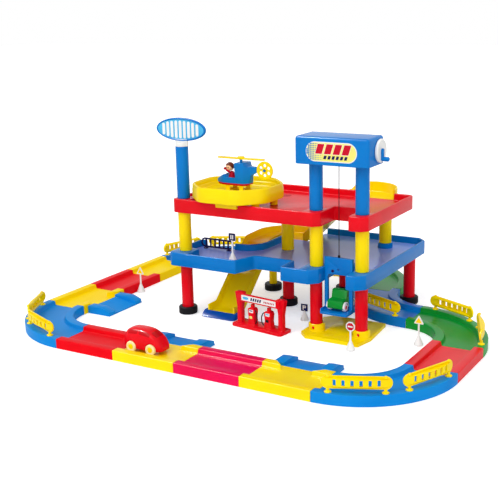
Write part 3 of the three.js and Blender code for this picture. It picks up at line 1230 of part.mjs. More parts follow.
// Tower sign
const signZ = TOWER_TOP + SIGN_NECK + SIGN_HEIGHT / 2;
const oval = (grow) => {
  const points = [];
  for (let k = 0; k < 2 * WHEEL_STEPS; k += 1) {
    const angle = (Math.PI * k) / WHEEL_STEPS;
    points.push(point2(
      LEFT_COLUMN_X + (SIGN_LENGTH / 2 + grow) * Math.cos(angle),
      signZ + (SIGN_HEIGHT / 2 + grow) * Math.sin(angle),
    ));
  }
  return points;
};
const signFront = FRONT_COLUMN_Y - SIGN_THICK / 2;
const signRear = FRONT_COLUMN_Y + SIGN_THICK / 2;
const towerSign = cut(
  join(
    alongY(oval(0), signFront, signRear),
    block(
      LEFT_COLUMN_X - SIGN_NECK_WIDTH / 2, signFront + EDGE_BEVEL, TOWER_TOP + CLEARANCE,
      LEFT_COLUMN_X + SIGN_NECK_WIDTH / 2, signRear - EDGE_BEVEL, signZ - SIGN_HEIGHT / 4,
    ),
    rod(
      LEFT_COLUMN_X, FRONT_COLUMN_Y, COLUMN_RADIUS,
      TOWER_TOP + CLEARANCE, TOWER_TOP + SIGN_NECK - EDGE_BEVEL,
    ),
  ),
  alongY(oval(-SIGN_BORDER), signFront - OVERRUN, signFront + SIGN_BORDER_RISE),
  socketUp(LEFT_COLUMN_X, FRONT_COLUMN_Y, TOWER_TOP + CLEARANCE),
);
build('tower_sign', towerSign, BLUE);

// Small accessories

/** The guard rail on the mid deck: a hoop with upright bars on two feet. */
function guardRail() {
  const reach = RAIL_LENGTH / 2;
  const corners = [
    [-reach, 0, RAIL_HEIGHT / 3], [reach, 0, RAIL_HEIGHT / 3],
    [reach, RAIL_HEIGHT, RAIL_HEIGHT / 3], [-reach, RAIL_HEIGHT, RAIL_HEIGHT / 3],
  ];
  const hoop = cut(
    alongY(rounded(corners), -RAIL_BAR / 2, RAIL_BAR / 2),
    alongY(rounded(inset(corners, RAIL_BAR)), -RAIL_BAR, RAIL_BAR),
  );
  const bars = [];
  for (let k = 1; k < RAIL_POSTS; k += 1) {
    const x = -reach + (RAIL_LENGTH * k) / RAIL_POSTS;
    bars.push(block(
      x - RAIL_BAR / 2, -RAIL_BAR / 2, RAIL_BAR / 2,
      x + RAIL_BAR / 2, RAIL_BAR / 2, RAIL_HEIGHT - RAIL_BAR / 2,
    ));
  }
  const shoe = block(
    -reach + RAIL_HEIGHT / 3, -2 * RAIL_BAR, 0, reach - RAIL_HEIGHT / 3, 2 * RAIL_BAR, RAIL_BAR / 2,
  );
  return join(hoop, ...bars, shoe);
}
build('guard_rail', guardRail().translate([RAIL_X, RAIL_Y, MID_FLOOR + CLEARANCE]), BLUE);

const deckSign = signPost(4).translate([DECK_SIGN_X, DECK_SIGN_Y, MID_FLOOR + CLEARANCE]);
build('sign_deck', deckSign, WHITE);
build('sign_stop', signPost(SMALL_STEPS).translate([STOP_X, BASE_FRONT - STOP_GAP, 0]), WHITE);
build('sign_parking', signPost(4, CONE_HEIGHT + POLE_RADIUS).translate([PARKING_X, PARKING_Y, 0]), WHITE);

/** The filling station: a plinth, two posts that widen upwards with a name beam, and two pumps. */
function pumpStation() {
  const reach = PUMP_LENGTH / 2;
  const deep = PUMP_DEPTH / 2;
  const plinth = prism(rounded([
    [-reach, -deep, SMALL_ROUND], [reach, -deep, SMALL_ROUND],
    [reach, deep, SMALL_ROUND], [-reach, deep, SMALL_ROUND],
  ]), 0, PUMP_PLINTH);
  const flareLow = PUMP_HEIGHT - 2 * PUMP_BEAM_HEIGHT;
  const posts = [-1, 1].map((side) => {
    const x = side * (reach - PUMP_POST);
    const narrow = PUMP_POST / 2;
    const wide = narrow + PUMP_FLARE;
    return alongY([
      point2(x - narrow, 0), point2(x + narrow, 0), point2(x + narrow, flareLow),
      point2(x + wide, PUMP_HEIGHT - EDGE_BEVEL), point2(x + narrow, PUMP_HEIGHT),
      point2(x - narrow, PUMP_HEIGHT), point2(x - wide, PUMP_HEIGHT - EDGE_BEVEL),
      point2(x - narrow, flareLow),
    ], -narrow, narrow);
  });
  const beam = block(
    -reach + PUMP_POST, -PUMP_POST / 2 - PUMP_BEAM_THICK / 2, PUMP_HEIGHT - PUMP_BEAM_HEIGHT - RAIL_BAR,
    reach - PUMP_POST, -PUMP_POST / 2 + PUMP_BEAM_THICK / 2, PUMP_HEIGHT - RAIL_BAR,
  );
  const pumps = [-1, 1].flatMap((side) => {
    const x = (side * reach) / 3;
    const top = PUMP_PLINTH + PUMP_BODY_HEIGHT;
    const wide = PUMP_BODY_WIDTH / 2;
    const outline = rounded([
      [x - wide, PUMP_PLINTH / 2, 0], [x + wide, PUMP_PLINTH / 2, 0],
      [x + wide - PUMP_FLARE / 2, top / 2, 0], [x + wide, top, PUMP_FLARE],
      [x - wide, top, PUMP_FLARE], [x - wide + PUMP_FLARE / 2, top / 2, 0],
    ]);
    return [
      alongY(outline, -PUMP_BODY_DEPTH / 2, PUMP_BODY_DEPTH / 2),
      rod(x, 0, PUMP_NECK_RADIUS, top - EDGE_BEVEL, top + PUMP_NECK, SMALL_STEPS),
    ];
  });
  return join(plinth, ...posts, beam, ...pumps);
}
build('pump_station', pumpStation().rotate([0, 0, PUMP_TURN]).translate([PUMP_X, PUMP_Y, 0]), RED);

// Vehicles

/** Two wheels on one axle along Y, at the origin. */
function wheelset(radius, width) {
  const outer = width / 2;
  const inner = outer - WHEEL_WIDTH;
  const hub = radius * WHEEL_HUB_SHARE;
  return turnedY(0, 0, [
    [0, -outer + WHEEL_DISH], [hub, -outer + WHEEL_DISH], [hub, -outer], [radius, -outer],
    [radius, -inner], [WHEEL_AXLE_RADIUS, -inner], [WHEEL_AXLE_RADIUS, inner], [radius, inner],
    [radius, outer], [hub, outer], [hub, outer - WHEEL_DISH], [0, outer - WHEEL_DISH],
  ], WHEEL_STEPS);
}

/** Corners from a table of shares of a reach, of a height and of a rounding. */
const fromShares = (shares, reach, height, round = 0) => (
  shares.map(([x, y, r = 0]) => [x * reach, y * height, r * round]));

/** A body's blank with room for its wheels cut from it: a pocket for each wheel and a hole for each axle. */
function withWheelRoom(blank, track, wheelXs, wheelRadius) {
  const reach = track / 2;
  const play = wheelRadius + WHEEL_PLAY + CLEARANCE;
  const pockets = wheelXs.flatMap((x) => [
    ...[-1, 1].map((side) => {
      const far = side * (reach + OVERRUN);
      const near = side * (reach - WHEEL_WIDTH - WHEEL_PLAY);
      return turnedY(x, wheelRadius, [
        [0, Math.min(far, near)], [play, Math.min(far, near)],
        [play, Math.max(far, near)], [0, Math.max(far, near)],
      ], WHEEL_STEPS);
    }),
    turnedY(x, wheelRadius, [
      [0, -reach], [WHEEL_AXLE_RADIUS + CLEARANCE, -reach],
      [WHEEL_AXLE_RADIUS + CLEARANCE, reach], [0, reach],
    ], WHEEL_STEPS),
  ]);
  return cut(blank, ...pockets);
}

/** Shallow windows in both sides of a body. */
function sideWindows(corners, width) {
  const outline = rounded(corners);
  const deep = width / 2 - GLASS_DEPTH;
  return [alongY(outline, -width, -deep), alongY(outline.map((p) => p.clone()), deep, width)];
}

/** Places a body and its two wheelsets: the car's nose is at +X before it is turned. */
function vehicle(name, body, wheelXs, wheelRadius, width, place, heading, colors, parent) {
  const set = (solid) => solid.rotate([0, 0, heading]).translate(place);
  add(`${name}_body`, set(body), colors[0], parent);
  const ends = ['rear', 'front'];
  wheelXs.forEach((x, k) => {
    const wheels = wheelset(wheelRadius, width).translate([x, 0, wheelRadius]);
    add(`${name}_wheels_${ends[k]}`, set(wheels), colors[1], parent);
  });
}

// The buggy: a box body with a cab, and a fender over each wheel
const buggyReach = BUGGY_LENGTH / 2;
const buggyWheels = BUGGY_WHEEL_SHARES.map((share) => share * buggyReach);
const buggySide = rounded(fromShares(BUGGY_SIDE_SHARES, buggyReach, BUGGY_HEIGHT, SMALL_ROUND));
const fenderInner = BUGGY_WHEEL_RADIUS + WHEEL_PLAY + CLEARANCE;
const fenders = buggyWheels.map((x) => turnedY(x, BUGGY_WHEEL_RADIUS, [
  [0, -BUGGY_WIDTH / 2], [fenderInner + BUGGY_FENDER_THICK, -BUGGY_WIDTH / 2],
  [fenderInner + BUGGY_FENDER_THICK, BUGGY_WIDTH / 2], [0, BUGGY_WIDTH / 2],
], ROUND_STEPS).subtract(block(
  x - buggyReach, -BUGGY_WIDTH, -BUGGY_WHEEL_RADIUS, x + buggyReach, BUGGY_WIDTH, BUGGY_WHEEL_RADIUS,
)));
const buggyBlank = cut(
  alongY(buggySide, -BUGGY_BODY_WIDTH / 2, BUGGY_BODY_WIDTH / 2),
  ...sideWindows(fromShares(BUGGY_GLASS_SHARES, buggyReach, BUGGY_HEIGHT), BUGGY_BODY_WIDTH),
);
const buggyBody = withWheelRoom(join(buggyBlank, ...fenders), BUGGY_WIDTH, buggyWheels, BUGGY_WHEEL_RADIUS);
vehicle(
  'buggy', buggyBody, buggyWheels, BUGGY_WHEEL_RADIUS, BUGGY_WIDTH,
  [LIFT_X, (CABIN_FRONT + cabinRear) / 2, CABIN_FLOOR + CLEARANCE], 270, [GREEN, WHITE], building,
);

// The car: its side, front and plan outlines meet in one soft body
const carReach = CAR_LENGTH / 2;
const carWheels = CAR_WHEEL_SHARES.map((share) => share * carReach);
const carSide = rounded(fromShares(CAR_SIDE_SHARES, carReach, CAR_HEIGHT, DECK_CORNER_RADIUS));
const carFront = rounded(fromShares(CAR_FRONT_SHARES, CAR_WIDTH / 2, CAR_HEIGHT, DECK_CORNER_RADIUS));
const carPlan = rounded([
  [-carReach, -CAR_WIDTH / 2, DECK_CORNER_RADIUS], [carReach, -CAR_WIDTH / 2, DECK_CORNER_RADIUS],
  [carReach, CAR_WIDTH / 2, DECK_CORNER_RADIUS], [-carReach, CAR_WIDTH / 2, DECK_CORNER_RADIUS],
]);
const carBlank = cut(
  alongY(carSide, -CAR_WIDTH, CAR_WIDTH)
    .intersect(alongX(carFront, -CAR_LENGTH, CAR_LENGTH))
    .intersect(prism(carPlan, 0, CAR_HEIGHT + OVERRUN)),
  ...sideWindows(fromShares(CAR_GLASS_SHARES, carReach, CAR_HEIGHT), CAR_WIDTH),
);
vehicle(
  'car', withWheelRoom(carBlank, CAR_WIDTH, carWheels, CAR_WHEEL_RADIUS),
  carWheels, CAR_WHEEL_RADIUS, CAR_WIDTH,
  [startX + ROAD_LENGTH + CAR_FROM_JOINT, frontY, LANE_TOP + CLEARANCE], 0, [RED, YELLOW], garage,
);

// Helicopter, nose at -X, standing on the helipad's floor: a tub with a pilot, a tower behind, and an arm
const heliZ = padFloor + CLEARANCE;
const bellyZ = HELI_SKID_HEIGHT;
const heliTop = bellyZ + HELI_BODY_HEIGHT;
const fuselage = alongY(
  rounded(fromShares(HELI_SIDE_SHARES, HELI_NOSE, HELI_BODY_HEIGHT, SMALL_ROUND)),
  -HELI_WIDTH / 2, HELI_WIDTH / 2,
).translate([0, 0, bellyZ]);
const heliPlan = prism(
  rounded(fromShares(HELI_PLAN_SHARES, HELI_NOSE, HELI_WIDTH / 2, SMALL_ROUND)), 0, heliTop + OVERRUN,
);
const seatZ = bellyZ + HELI_SEAT_SHARE * HELI_BODY_HEIGHT;
const [cockpitFront, cockpitRear] = HELI_COCKPIT_SHARES.map((share) => share * HELI_NOSE);
const cockpit = prism(rounded([
  [cockpitFront, -HELI_WIDTH / 2 + HELI_WALL, SMALL_ROUND], [cockpitRear, -HELI_WIDTH / 2 + HELI_WALL, 0],
  [cockpitRear, HELI_WIDTH / 2 - HELI_WALL, 0], [cockpitFront, HELI_WIDTH / 2 - HELI_WALL, SMALL_ROUND],
]), seatZ, heliTop);

/** A ball's profile, from its lowest to its highest point, about a height on the axis. */
function ballProfile(radius, middle) {
  const profile = [];
  for (let k = 0; k <= BALL_STEPS; k += 1) {
    const angle = (Math.PI * k) / BALL_STEPS;
    profile.push([k % BALL_STEPS ? radius * Math.sin(angle) : 0, middle - radius * Math.cos(angle)]);
  }
  return profile;
}
const shoulderZ = bellyZ + PILOT_SHOULDER_SHARE * PILOT_HEAD_Z;
const pilot = join(
  turned(PILOT_X, 0, ballProfile(PILOT_HEAD_RADIUS, bellyZ + PILOT_HEAD_Z), SMALL_STEPS),
  turned(PILOT_X, 0, [
    [0, seatZ - EDGE_BEVEL], [PILOT_BODY_RADIUS, seatZ - EDGE_BEVEL],
    [PILOT_BODY_RADIUS, shoulderZ - HELI_WALL],
    [PILOT_BODY_RADIUS - HELI_WALL, shoulderZ + EDGE_BEVEL], [0, shoulderZ + EDGE_BEVEL],
  ], SMALL_STEPS),
);
const skids = [-1, 1].flatMap((side) => {
  const y = side * (HELI_WIDTH / 2 - HELI_SKID_RADIUS);
  const runner = turnedX(y, HELI_SKID_RADIUS, [
    [0, -HELI_SKID_LENGTH / 2], [HELI_SKID_RADIUS, -HELI_SKID_LENGTH / 2],
    [HELI_SKID_RADIUS, HELI_SKID_LENGTH / 2], [0, HELI_SKID_LENGTH / 2],
  ], SMALL_STEPS).translate([PILOT_X / 2, 0, 0]);
  const struts = [-1, 1].map((end) => {
    const x = PILOT_X / 2 + (end * HELI_STRUT_SPACING) / 2;
    return block(
      x - HELI_STRUT_WIDTH / 2, y - HELI_SKID_RADIUS / 2, HELI_SKID_RADIUS,
      x + HELI_STRUT_WIDTH / 2, y + HELI_SKID_RADIUS / 2, bellyZ + EDGE_BEVEL,
    );
  });
  return [runner, ...struts];
});
const mastTop = heliTop + HELI_MAST_HEIGHT;
const mast = rod(0, 0, HELI_MAST_RADIUS, heliTop - EDGE_BEVEL, mastTop, SMALL_STEPS);
const tailX = HELI_TAIL_X;
const tailZ = bellyZ + HELI_TAIL_SHARE * HELI_BODY_HEIGHT;
const boom = block(
  0, -HELI_BOOM_THICK / 4, tailZ - HELI_BOOM_THICK / 4,
  tailX, HELI_BOOM_THICK / 4, tailZ + HELI_BOOM_THICK / 4,
);
const tailPin = turnedY(tailX, tailZ, [
  [0, -HELI_BOOM_THICK], [HELI_SKID_RADIUS, -HELI_BOOM_THICK], [HELI_SKID_RADIUS, 0], [0, 0],
], SMALL_STEPS);
const placeHeli = (solid) => solid.translate([PAD_X, PAD_Y, heliZ]);
const heliShell = cut(fuselage.intersect(heliPlan), cockpit);
build('heli_body', placeHeli(join(heliShell, pilot, ...skids, mast, boom, tailPin)), BLUE);

const bladeTip = HELI_ROTOR_LENGTH / 2;
const rotorLow = mastTop - HELI_ROTOR_THICK;
const bladePlan = rounded([
  [-bladeTip, -HELI_ROTOR_WIDTH / 2, HELI_ROTOR_WIDTH / 3],
  [bladeTip, -HELI_ROTOR_WIDTH / 2, HELI_ROTOR_WIDTH / 3],
  [bladeTip, HELI_ROTOR_WIDTH / 2, HELI_ROTOR_WIDTH / 3],
  [-bladeTip, HELI_ROTOR_WIDTH / 2, HELI_ROTOR_WIDTH / 3],
]);
const rotor = cut(
  join(
    prism(bladePlan, rotorLow, rotorLow + HELI_ROTOR_THICK),
    rod(0, 0, HELI_HUB_RADIUS, rotorLow, mastTop + HELI_ROTOR_THICK, WHEEL_STEPS),
  ),
  rod(0, 0, HELI_MAST_RADIUS + CLEARANCE, rotorLow - OVERRUN, mastTop + CLEARANCE, SMALL_STEPS),
);
build('heli_rotor', placeHeli(rotor), YELLOW);

const tailRotor = () => {
  const tube = [
    [HELI_TAIL_RADIUS, 0], [HELI_TAIL_RADIUS, HELI_TAIL_THICK],
    [HELI_TAIL_RADIUS - HELI_TAIL_RIM, HELI_TAIL_THICK], [HELI_TAIL_RADIUS - HELI_TAIL_RIM, 0],
    [HELI_TAIL_RADIUS, 0],
  ];
  const spokes = [];
  for (let k = 0; k < HELI_TAIL_SPOKES; k += 1) {
    spokes.push(block(
      -HELI_TAIL_RADIUS + HELI_TAIL_RIM / 2, -HELI_TAIL_RIM / 2, 0,
      HELI_TAIL_RADIUS - HELI_TAIL_RIM / 2, HELI_TAIL_RIM / 2, HELI_TAIL_THICK / 2,
    ).rotate([0, 0, (180 * k) / HELI_TAIL_SPOKES]));
  }
  return cut(
    join(
      turned(0, 0, tube, ROUND_STEPS),
      ...spokes,
      rod(0, 0, HELI_TAIL_HUB_RADIUS, 0, HELI_TAIL_THICK, SMALL_STEPS),
    ),
    rod(0, 0, HELI_SKID_RADIUS + CLEARANCE, -OVERRUN, HELI_TAIL_THICK + OVERRUN, SMALL_STEPS),
  );
};
const tailFront = -HELI_BOOM_THICK / 4 - RUNNING - HELI_TAIL_THICK;
build('heli_tail_rotor', placeHeli(
  tailRotor().rotate([-90, 0, 0]).translate([tailX, tailFront, tailZ]),
), YELLOW);

export default garage;
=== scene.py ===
# %% [markdown]
# # A toy parking garage with a hand-cranked lift
# This lesson dresses a measured model of a child's two-storey garage. The measured solids come in as a
# frame that must not move. Every piece made here is worked out in the same place, as a surface with
# soft moulded edges, and is then tied to the body that carries it.

# %% Load the measured frame
import bpy
import numpy as np
from mathutils import Matrix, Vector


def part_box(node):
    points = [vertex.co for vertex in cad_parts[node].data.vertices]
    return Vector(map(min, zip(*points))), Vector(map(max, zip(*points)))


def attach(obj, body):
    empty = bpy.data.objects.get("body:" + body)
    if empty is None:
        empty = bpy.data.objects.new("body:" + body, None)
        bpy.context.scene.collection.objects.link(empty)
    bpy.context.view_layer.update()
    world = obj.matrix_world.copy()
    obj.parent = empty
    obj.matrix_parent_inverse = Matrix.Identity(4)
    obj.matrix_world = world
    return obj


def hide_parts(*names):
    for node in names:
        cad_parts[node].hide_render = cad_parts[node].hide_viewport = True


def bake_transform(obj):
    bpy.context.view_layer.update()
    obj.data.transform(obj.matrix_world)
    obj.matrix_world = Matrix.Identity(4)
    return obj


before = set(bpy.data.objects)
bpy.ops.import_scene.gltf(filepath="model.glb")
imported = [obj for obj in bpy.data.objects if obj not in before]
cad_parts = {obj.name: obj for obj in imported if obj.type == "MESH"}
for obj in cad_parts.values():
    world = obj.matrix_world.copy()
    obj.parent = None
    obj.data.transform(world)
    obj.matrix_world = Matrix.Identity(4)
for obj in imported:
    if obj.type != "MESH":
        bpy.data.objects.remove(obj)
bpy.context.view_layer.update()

# %% [markdown]
# ## Camera
# The photograph was taken from in front and to the right, a little above the upper floor, with a long
# lens. The camera's place and its three axes were worked out from the straight edges of the road. A
# target to look at would do as well, but plain vectors leave nothing to chance.

# %% Camera
EYE = (1.0897, -1.9323, 0.7292)
RIGHT = (0.8576, 0.5137, -0.0235)
UP = (-0.1088, 0.2260, 0.9680)
BACK = (0.5026, -0.8277, 0.2497)
SENSOR_WIDTH, FOCAL_LENGTH, FARTHEST = 36.0, 69.93, 100.0
lens = bpy.data.cameras.new("photo_camera")
lens.sensor_width = SENSOR_WIDTH
lens.lens = FOCAL_LENGTH
lens.clip_end = FARTHEST
camera = bpy.data.objects.new("photo_camera", lens)
camera.matrix_world = Matrix([[RIGHT[k], UP[k], BACK[k], EYE[k]] for k in range(3)] + [[0, 0, 0, 1]])
bpy.context.scene.collection.objects.link(camera)
bpy.context.scene.camera = camera
bpy.context.scene.view_settings.view_transform = "Standard"
print("camera at", EYE, "with a lens of", FOCAL_LENGTH, "mm")

# %% [markdown]
# ## Light
# A catalogue picture has a white sweep and light from all round, so that each colour shows about as it
# is. The world gives that light. It turns pure white only for rays that come from the camera or from a
# mirror, which leaves the light level as it is. Three lamps stand for the studio. A broad sun gives the
# soft shadows under the floors. A fill from the front casts no shadow and isn't seen in the gloss, so
# it only lifts what is dark. The glint is seen in the gloss alone, where it draws bright lines along
# the rounded edges.

# %% World
def dial(node, values):
    """Set inputs of a node from a dictionary of socket names and values."""
    for socket, value in values.items():
        node.inputs[socket].default_value = value


def join_nodes(tree, rows):
    """Link nodes of a tree: each row names a node and its output, then the next node and its input."""
    for source, leaves, target, enters in rows:
        tree.links.new(source.outputs[leaves], target.inputs[enters])


WHITE_LIGHT = (1.0, 1.0, 1.0, 1.0)
WORLD_LEVEL = 0.55
world = bpy.data.worlds.new("white_sweep")
bpy.context.scene.world = world
world.use_nodes = True
sky = world.node_tree.nodes["Background"]
seen = world.node_tree.nodes.new("ShaderNodeLightPath")
either = world.node_tree.nodes.new("ShaderNodeMath")
either.operation = "MAXIMUM"
level = world.node_tree.nodes.new("ShaderNodeMapRange")
dial(sky, {"Color": WHITE_LIGHT})
dial(level, {"To Min": WORLD_LEVEL, "To Max": 1.0})
join_nodes(world.node_tree, [(seen, "Is Camera Ray", either, 0), (seen, "Is Glossy Ray", either, 1),
                             (either, 0, level, "Value"), (level, "Result", sky, "Strength")])
print("world level", WORLD_LEVEL)

# %% Lamps
LAMPS = [("broad_sun", 0.65, 0.6, (0.62, -0.30, 0.20)), ("front_fill", 1.3, 1.6, (0.84, 0.0, 0.42)),
         ("edge_glint", 4.5, 0.16, (0.60, 0.0, -1.11))]
for title, strength, spread, facing in LAMPS:
    lamp_data = bpy.data.lights.new(title, "SUN")
    lamp_data.energy = strength
    lamp_data.angle = spread
    lamp_data.use_shadow = title != "front_fill"
    lamp = bpy.data.objects.new(title, lamp_data)
    lamp.rotation_euler = facing
    lamp.visible_glossy = title != "front_fill"
    lamp.visible_diffuse = title != "edge_glint"
    bpy.context.scene.collection.objects.link(lamp)
print("lamps:", ", ".join(row[0] for row in LAMPS))

# %% [markdown]
# ## Paper floor
# The floor is a large sheet of matt white paper just under the toy. Lit paper is never quite white, so
# it glows a little. It glows only for rays from the camera, because a glow for all rays would light the
# toy from below.

# %% Paper floor
REACH, PAPER_TOP, PAPER_GLOW = 12.0, -0.0004, 0.42
floor_mesh = bpy.data.meshes.new("floor_sheet")
floor_mesh.from_pydata([(-REACH, -REACH, PAPER_TOP), (REACH, -REACH, PAPER_TOP), (REACH, REACH, PAPER_TOP),
                        (-REACH, REACH, PAPER_TOP)], [], [(0, 1, 2, 3)])
floor = bpy.data.objects.new("floor_sheet", floor_mesh)
bpy.context.scene.collection.objects.link(floor)
paper = bpy.data.materials.new("white_paper")
paper.use_nodes = True
paper_shader = paper.node_tree.nodes["Principled BSDF"]
paper_seen = paper.node_tree.nodes.new("ShaderNodeLightPath")
glow = paper.node_tree.nodes.new("ShaderNodeMath")
glow.operation = "MULTIPLY"
dial(glow, {1: PAPER_GLOW})
dial(paper_shader, {"Base Color": (0.9, 0.9, 0.905, 1.0), "Roughness": 0.9, "Specular IOR Level": 0.1,
                    "Emission Color": WHITE_LIGHT})
join_nodes(paper.node_tree, [(paper_seen, "Is Camera Ray", glow, 0),
                             (glow, 0, paper_shader, "Emission Strength")])
floor_mesh.materials.append(paper)
print("paper", 2 * REACH, "m wide, glowing at", PAPER_GLOW)

# %% [markdown]
# ## The moulded finish
# Every part of the toy is injection-moulded plastic: an even colour with a faint flow of tone, a soft
# gloss that is broken by a very fine skin, and slightly duller patches where hands have been. Each
# plastic could have its own nodes for that. One node group holds them here, so that all the plastics
# share the skin and differ only in the numbers that are fed in.

# %% The shared node group
SKIN_INPUTS = {"Colour": "NodeSocketColor", "Shade": "NodeSocketColor", "Roughness": "NodeSocketFloat",
               "Handling": "NodeSocketFloat", "Flow size": "NodeSocketFloat", "Skin size": "NodeSocketFloat",
               "Skin depth": "NodeSocketFloat"}
SKIN_OUTPUTS = {"Colour": "NodeSocketColor", "Roughness": "NodeSocketFloat", "Normal": "NodeSocketVector"}
FLOW_DETAIL, FLOW_LOW, FLOW_HIGH = 3.0, 0.35, 0.75
HANDS_SIZE, HANDS_DETAIL = 22.0, 4.0
FINE_DETAIL, FINE_RELIEF = 2.0, 0.0004


def moulded_skin():
    """Group of nodes: a slow noise mixes colour and shade, one moves roughness, a fine one gives relief."""
    group = bpy.data.node_groups.new("moulded_skin", "ShaderNodeTree")
    for direction, sockets in (("INPUT", SKIN_INPUTS), ("OUTPUT", SKIN_OUTPUTS)):
        for title, kind in sockets.items():
            group.interface.new_socket(title, in_out=direction, socket_type=kind)
    add = group.nodes.new
    come, go, place = add("NodeGroupInput"), add("NodeGroupOutput"), add("ShaderNodeTexCoord")
    flow, hands, fine = add("ShaderNodeTexNoise"), add("ShaderNodeTexNoise"), add("ShaderNodeTexNoise")
    share, tone, dulled = add("ShaderNodeMapRange"), add("ShaderNodeMix"), add("ShaderNodeMath")
    relief = add("ShaderNodeBump")
    tone.data_type = "RGBA"
    dulled.operation = "MULTIPLY_ADD"
    dial(flow, {"Detail": FLOW_DETAIL})
    dial(share, {"From Min": FLOW_LOW, "From Max": FLOW_HIGH})
    dial(hands, {"Scale": HANDS_SIZE, "Detail": HANDS_DETAIL})
    dial(fine, {"Detail": FINE_DETAIL})
    dial(relief, {"Distance": FINE_RELIEF})
    join_nodes(group, [
        (place, "Object", flow, "Vector"), (place, "Object", hands, "Vector"),
        (place, "Object", fine, "Vector"), (come, "Flow size", flow, "Scale"),
        (come, "Skin size", fine, "Scale"), (flow, "Fac", share, "Value"),
        (share, "Result", tone, "Factor"), (come, "Colour", tone, "A"), (come, "Shade", tone, "B"),
        (tone, "Result", go, "Colour"), (hands, "Fac", dulled, 0), (come, "Handling", dulled, 1),
        (come, "Roughness", dulled, 2), (dulled, 0, go, "Roughness"), (fine, "Fac", relief, "Height"),
        (come, "Skin depth", relief, "Strength"), (relief, "Normal", go, "Normal")])
    return group


MOULDED_SKIN = moulded_skin()
print("the shared skin has", len(MOULDED_SKIN.nodes), "nodes")

# %% One plastic
SLOT_OF = {}
HANDLING, SKIN_DEPTH, FLOW_SIZE, SKIN_SIZE, COAT_ROUGHNESS = 0.04, 0.04, 9.0, 420.0, 0.08


def linear(red, green, blue):
    """Screen colour of 0 to 255 as light: the inverse of the sRGB curve, channel by channel."""
    share = np.array([red, green, blue]) / 255.0
    light = np.where(share <= 0.04045, share / 12.92, ((share + 0.055) / 1.055) ** 2.4)
    return (*light.tolist(), 1.0)


def plastic(title, slot, colour, shade, roughness=0.24, coat=0.06, gloss=0.12):
    """A plastic for a slot of the record: the shared skin feeds a Principled shader with a thin coat."""
    material = bpy.data.materials.new(title)
    SLOT_OF[title] = slot
    material.use_nodes = True
    tree = material.node_tree
    shader = tree.nodes["Principled BSDF"]
    skin = tree.nodes.new("ShaderNodeGroup")
    skin.node_tree = MOULDED_SKIN
    dial(skin, {"Colour": linear(*colour), "Shade": linear(*shade), "Roughness": roughness,
                "Handling": HANDLING, "Flow size": FLOW_SIZE, "Skin size": SKIN_SIZE,
                "Skin depth": SKIN_DEPTH})
    dial(shader, {"Specular IOR Level": gloss, "Coat Weight": coat, "Coat Roughness": COAT_ROUGHNESS})
    join_nodes(tree, [(skin, "Colour", shader, "Base Color"), (skin, "Roughness", shader, "Roughness"),
                      (skin, "Normal", shader, "Normal")])
    return material


print("screen grey 128 as light:", round(linear(128, 128, 128)[0], 3))

# %% [markdown]
# ## Colours
# The toy uses four strong colours, plus white and black for small parts. The first colour of a plastic
# is the one in full light, and the second is where the wall is thicker and lets less light through. The
# road pieces nearest the camera lie almost along the line of sight, where a gloss would show nothing
# but white sky, so they have duller plastics of their own, which keep their colour at such an angle.

# %% Plastics
PRINTED, SOFT = {"roughness": 0.35}, {"roughness": 0.4}
WORN = {"roughness": 0.32, "coat": 0.03, "gloss": 0.03}
BLUE = plastic("glossy_blue", "blue_plastic", (0, 124, 206), (0, 113, 197))
# painted reflection: a paler, lilac blue for the middle floor's top, for the sky and red floor seen in its
# gloss
FLOOR_SHEEN_BLUE = plastic("blue_floor_sheen", "blue_plastic", (132, 168, 255), (120, 158, 252), 0.2, 0.08)
DEEP_BLUE = plastic("deep_blue", "blue_plastic", (0, 74, 164), (0, 64, 150))
RED = plastic("glossy_red", "red_plastic", (236, 6, 28), (222, 2, 20))
DULL_RED = plastic("dull_red", "red_plastic", (196, 2, 18), (184, 0, 14))
MAGENTA = plastic("deep_red", "red_plastic", (236, 0, 84), (226, 0, 70))
YELLOW = plastic("glossy_yellow", "yellow_plastic", (255, 227, 0), (252, 214, 0))
AMBER = plastic("amber", "yellow_plastic", (255, 223, 0), (254, 210, 0))
WORN_RED = plastic("worn_red", "red_plastic", (238, 8, 26), (226, 4, 20), **WORN)
WORN_YELLOW = plastic("worn_yellow", "yellow_plastic", (255, 224, 0), (252, 212, 0), **WORN)
WORN_BLUE = plastic("worn_blue", "blue_plastic", (18, 140, 220), (8, 130, 212), 0.32, 0.04, 0.04)
GREEN = plastic("glossy_green", "green_plastic", (10, 154, 52), (4, 134, 42))
# painted shade: a darker green for the faces of the buggy's window recesses
RECESS_SHADE_GREEN = plastic("green_recess_shade", "green_plastic", (4, 112, 40), (2, 98, 32))
WHITE = plastic("glossy_white", "white_plastic", (246, 246, 243), (238, 238, 235))
BLACK = plastic("black_rubber", "white_plastic", (22, 22, 26), (14, 14, 18), roughness=0.5, coat=0.02)
SKIN = plastic("doll", "white_plastic", (252, 206, 164), (248, 194, 150), **SOFT)
HAIR = plastic("doll_hair", "white_plastic", (120, 48, 24), (98, 38, 18), **SOFT)
CREAM = plastic("cream", "yellow_plastic", (255, 243, 186), (254, 236, 168))
NAVY = plastic("navy_print", "white_plastic", (20, 22, 88), (16, 18, 74), **PRINTED)
SKY = plastic("sky_print", "blue_plastic", (86, 190, 234), (66, 176, 226), **PRINTED)
LEMON = plastic("lemon_print", "white_plastic", (250, 236, 120), (224, 238, 140), **PRINTED)
PRINT_RED = plastic("red_print", "white_plastic", (206, 8, 40), (190, 4, 34), **PRINTED)
print("plastics:", ", ".join(SLOT_OF))

# %% [markdown]
# ## Outlines
# Most parts are flat shapes with rounded corners. A corner is written as x, y and a radius. Replacing
# it by an arc that touches both sides gives the moulded look, and moving every side inwards by one
# distance gives the parallel outline that a wall or a rounded edge needs.

# %% Outline helpers
MM = 0.001
TINY = 1e-9
LEAST_RADIUS = 0.15


def corner_table(corners):
    """Places and radii of corners as two arrays; a corner written without a radius is sharp."""
    table = np.array([(c[0], c[1], c[2] if len(c) > 2 else 0.0) for c in corners], float)
    return table[:, :2], table[:, 2]


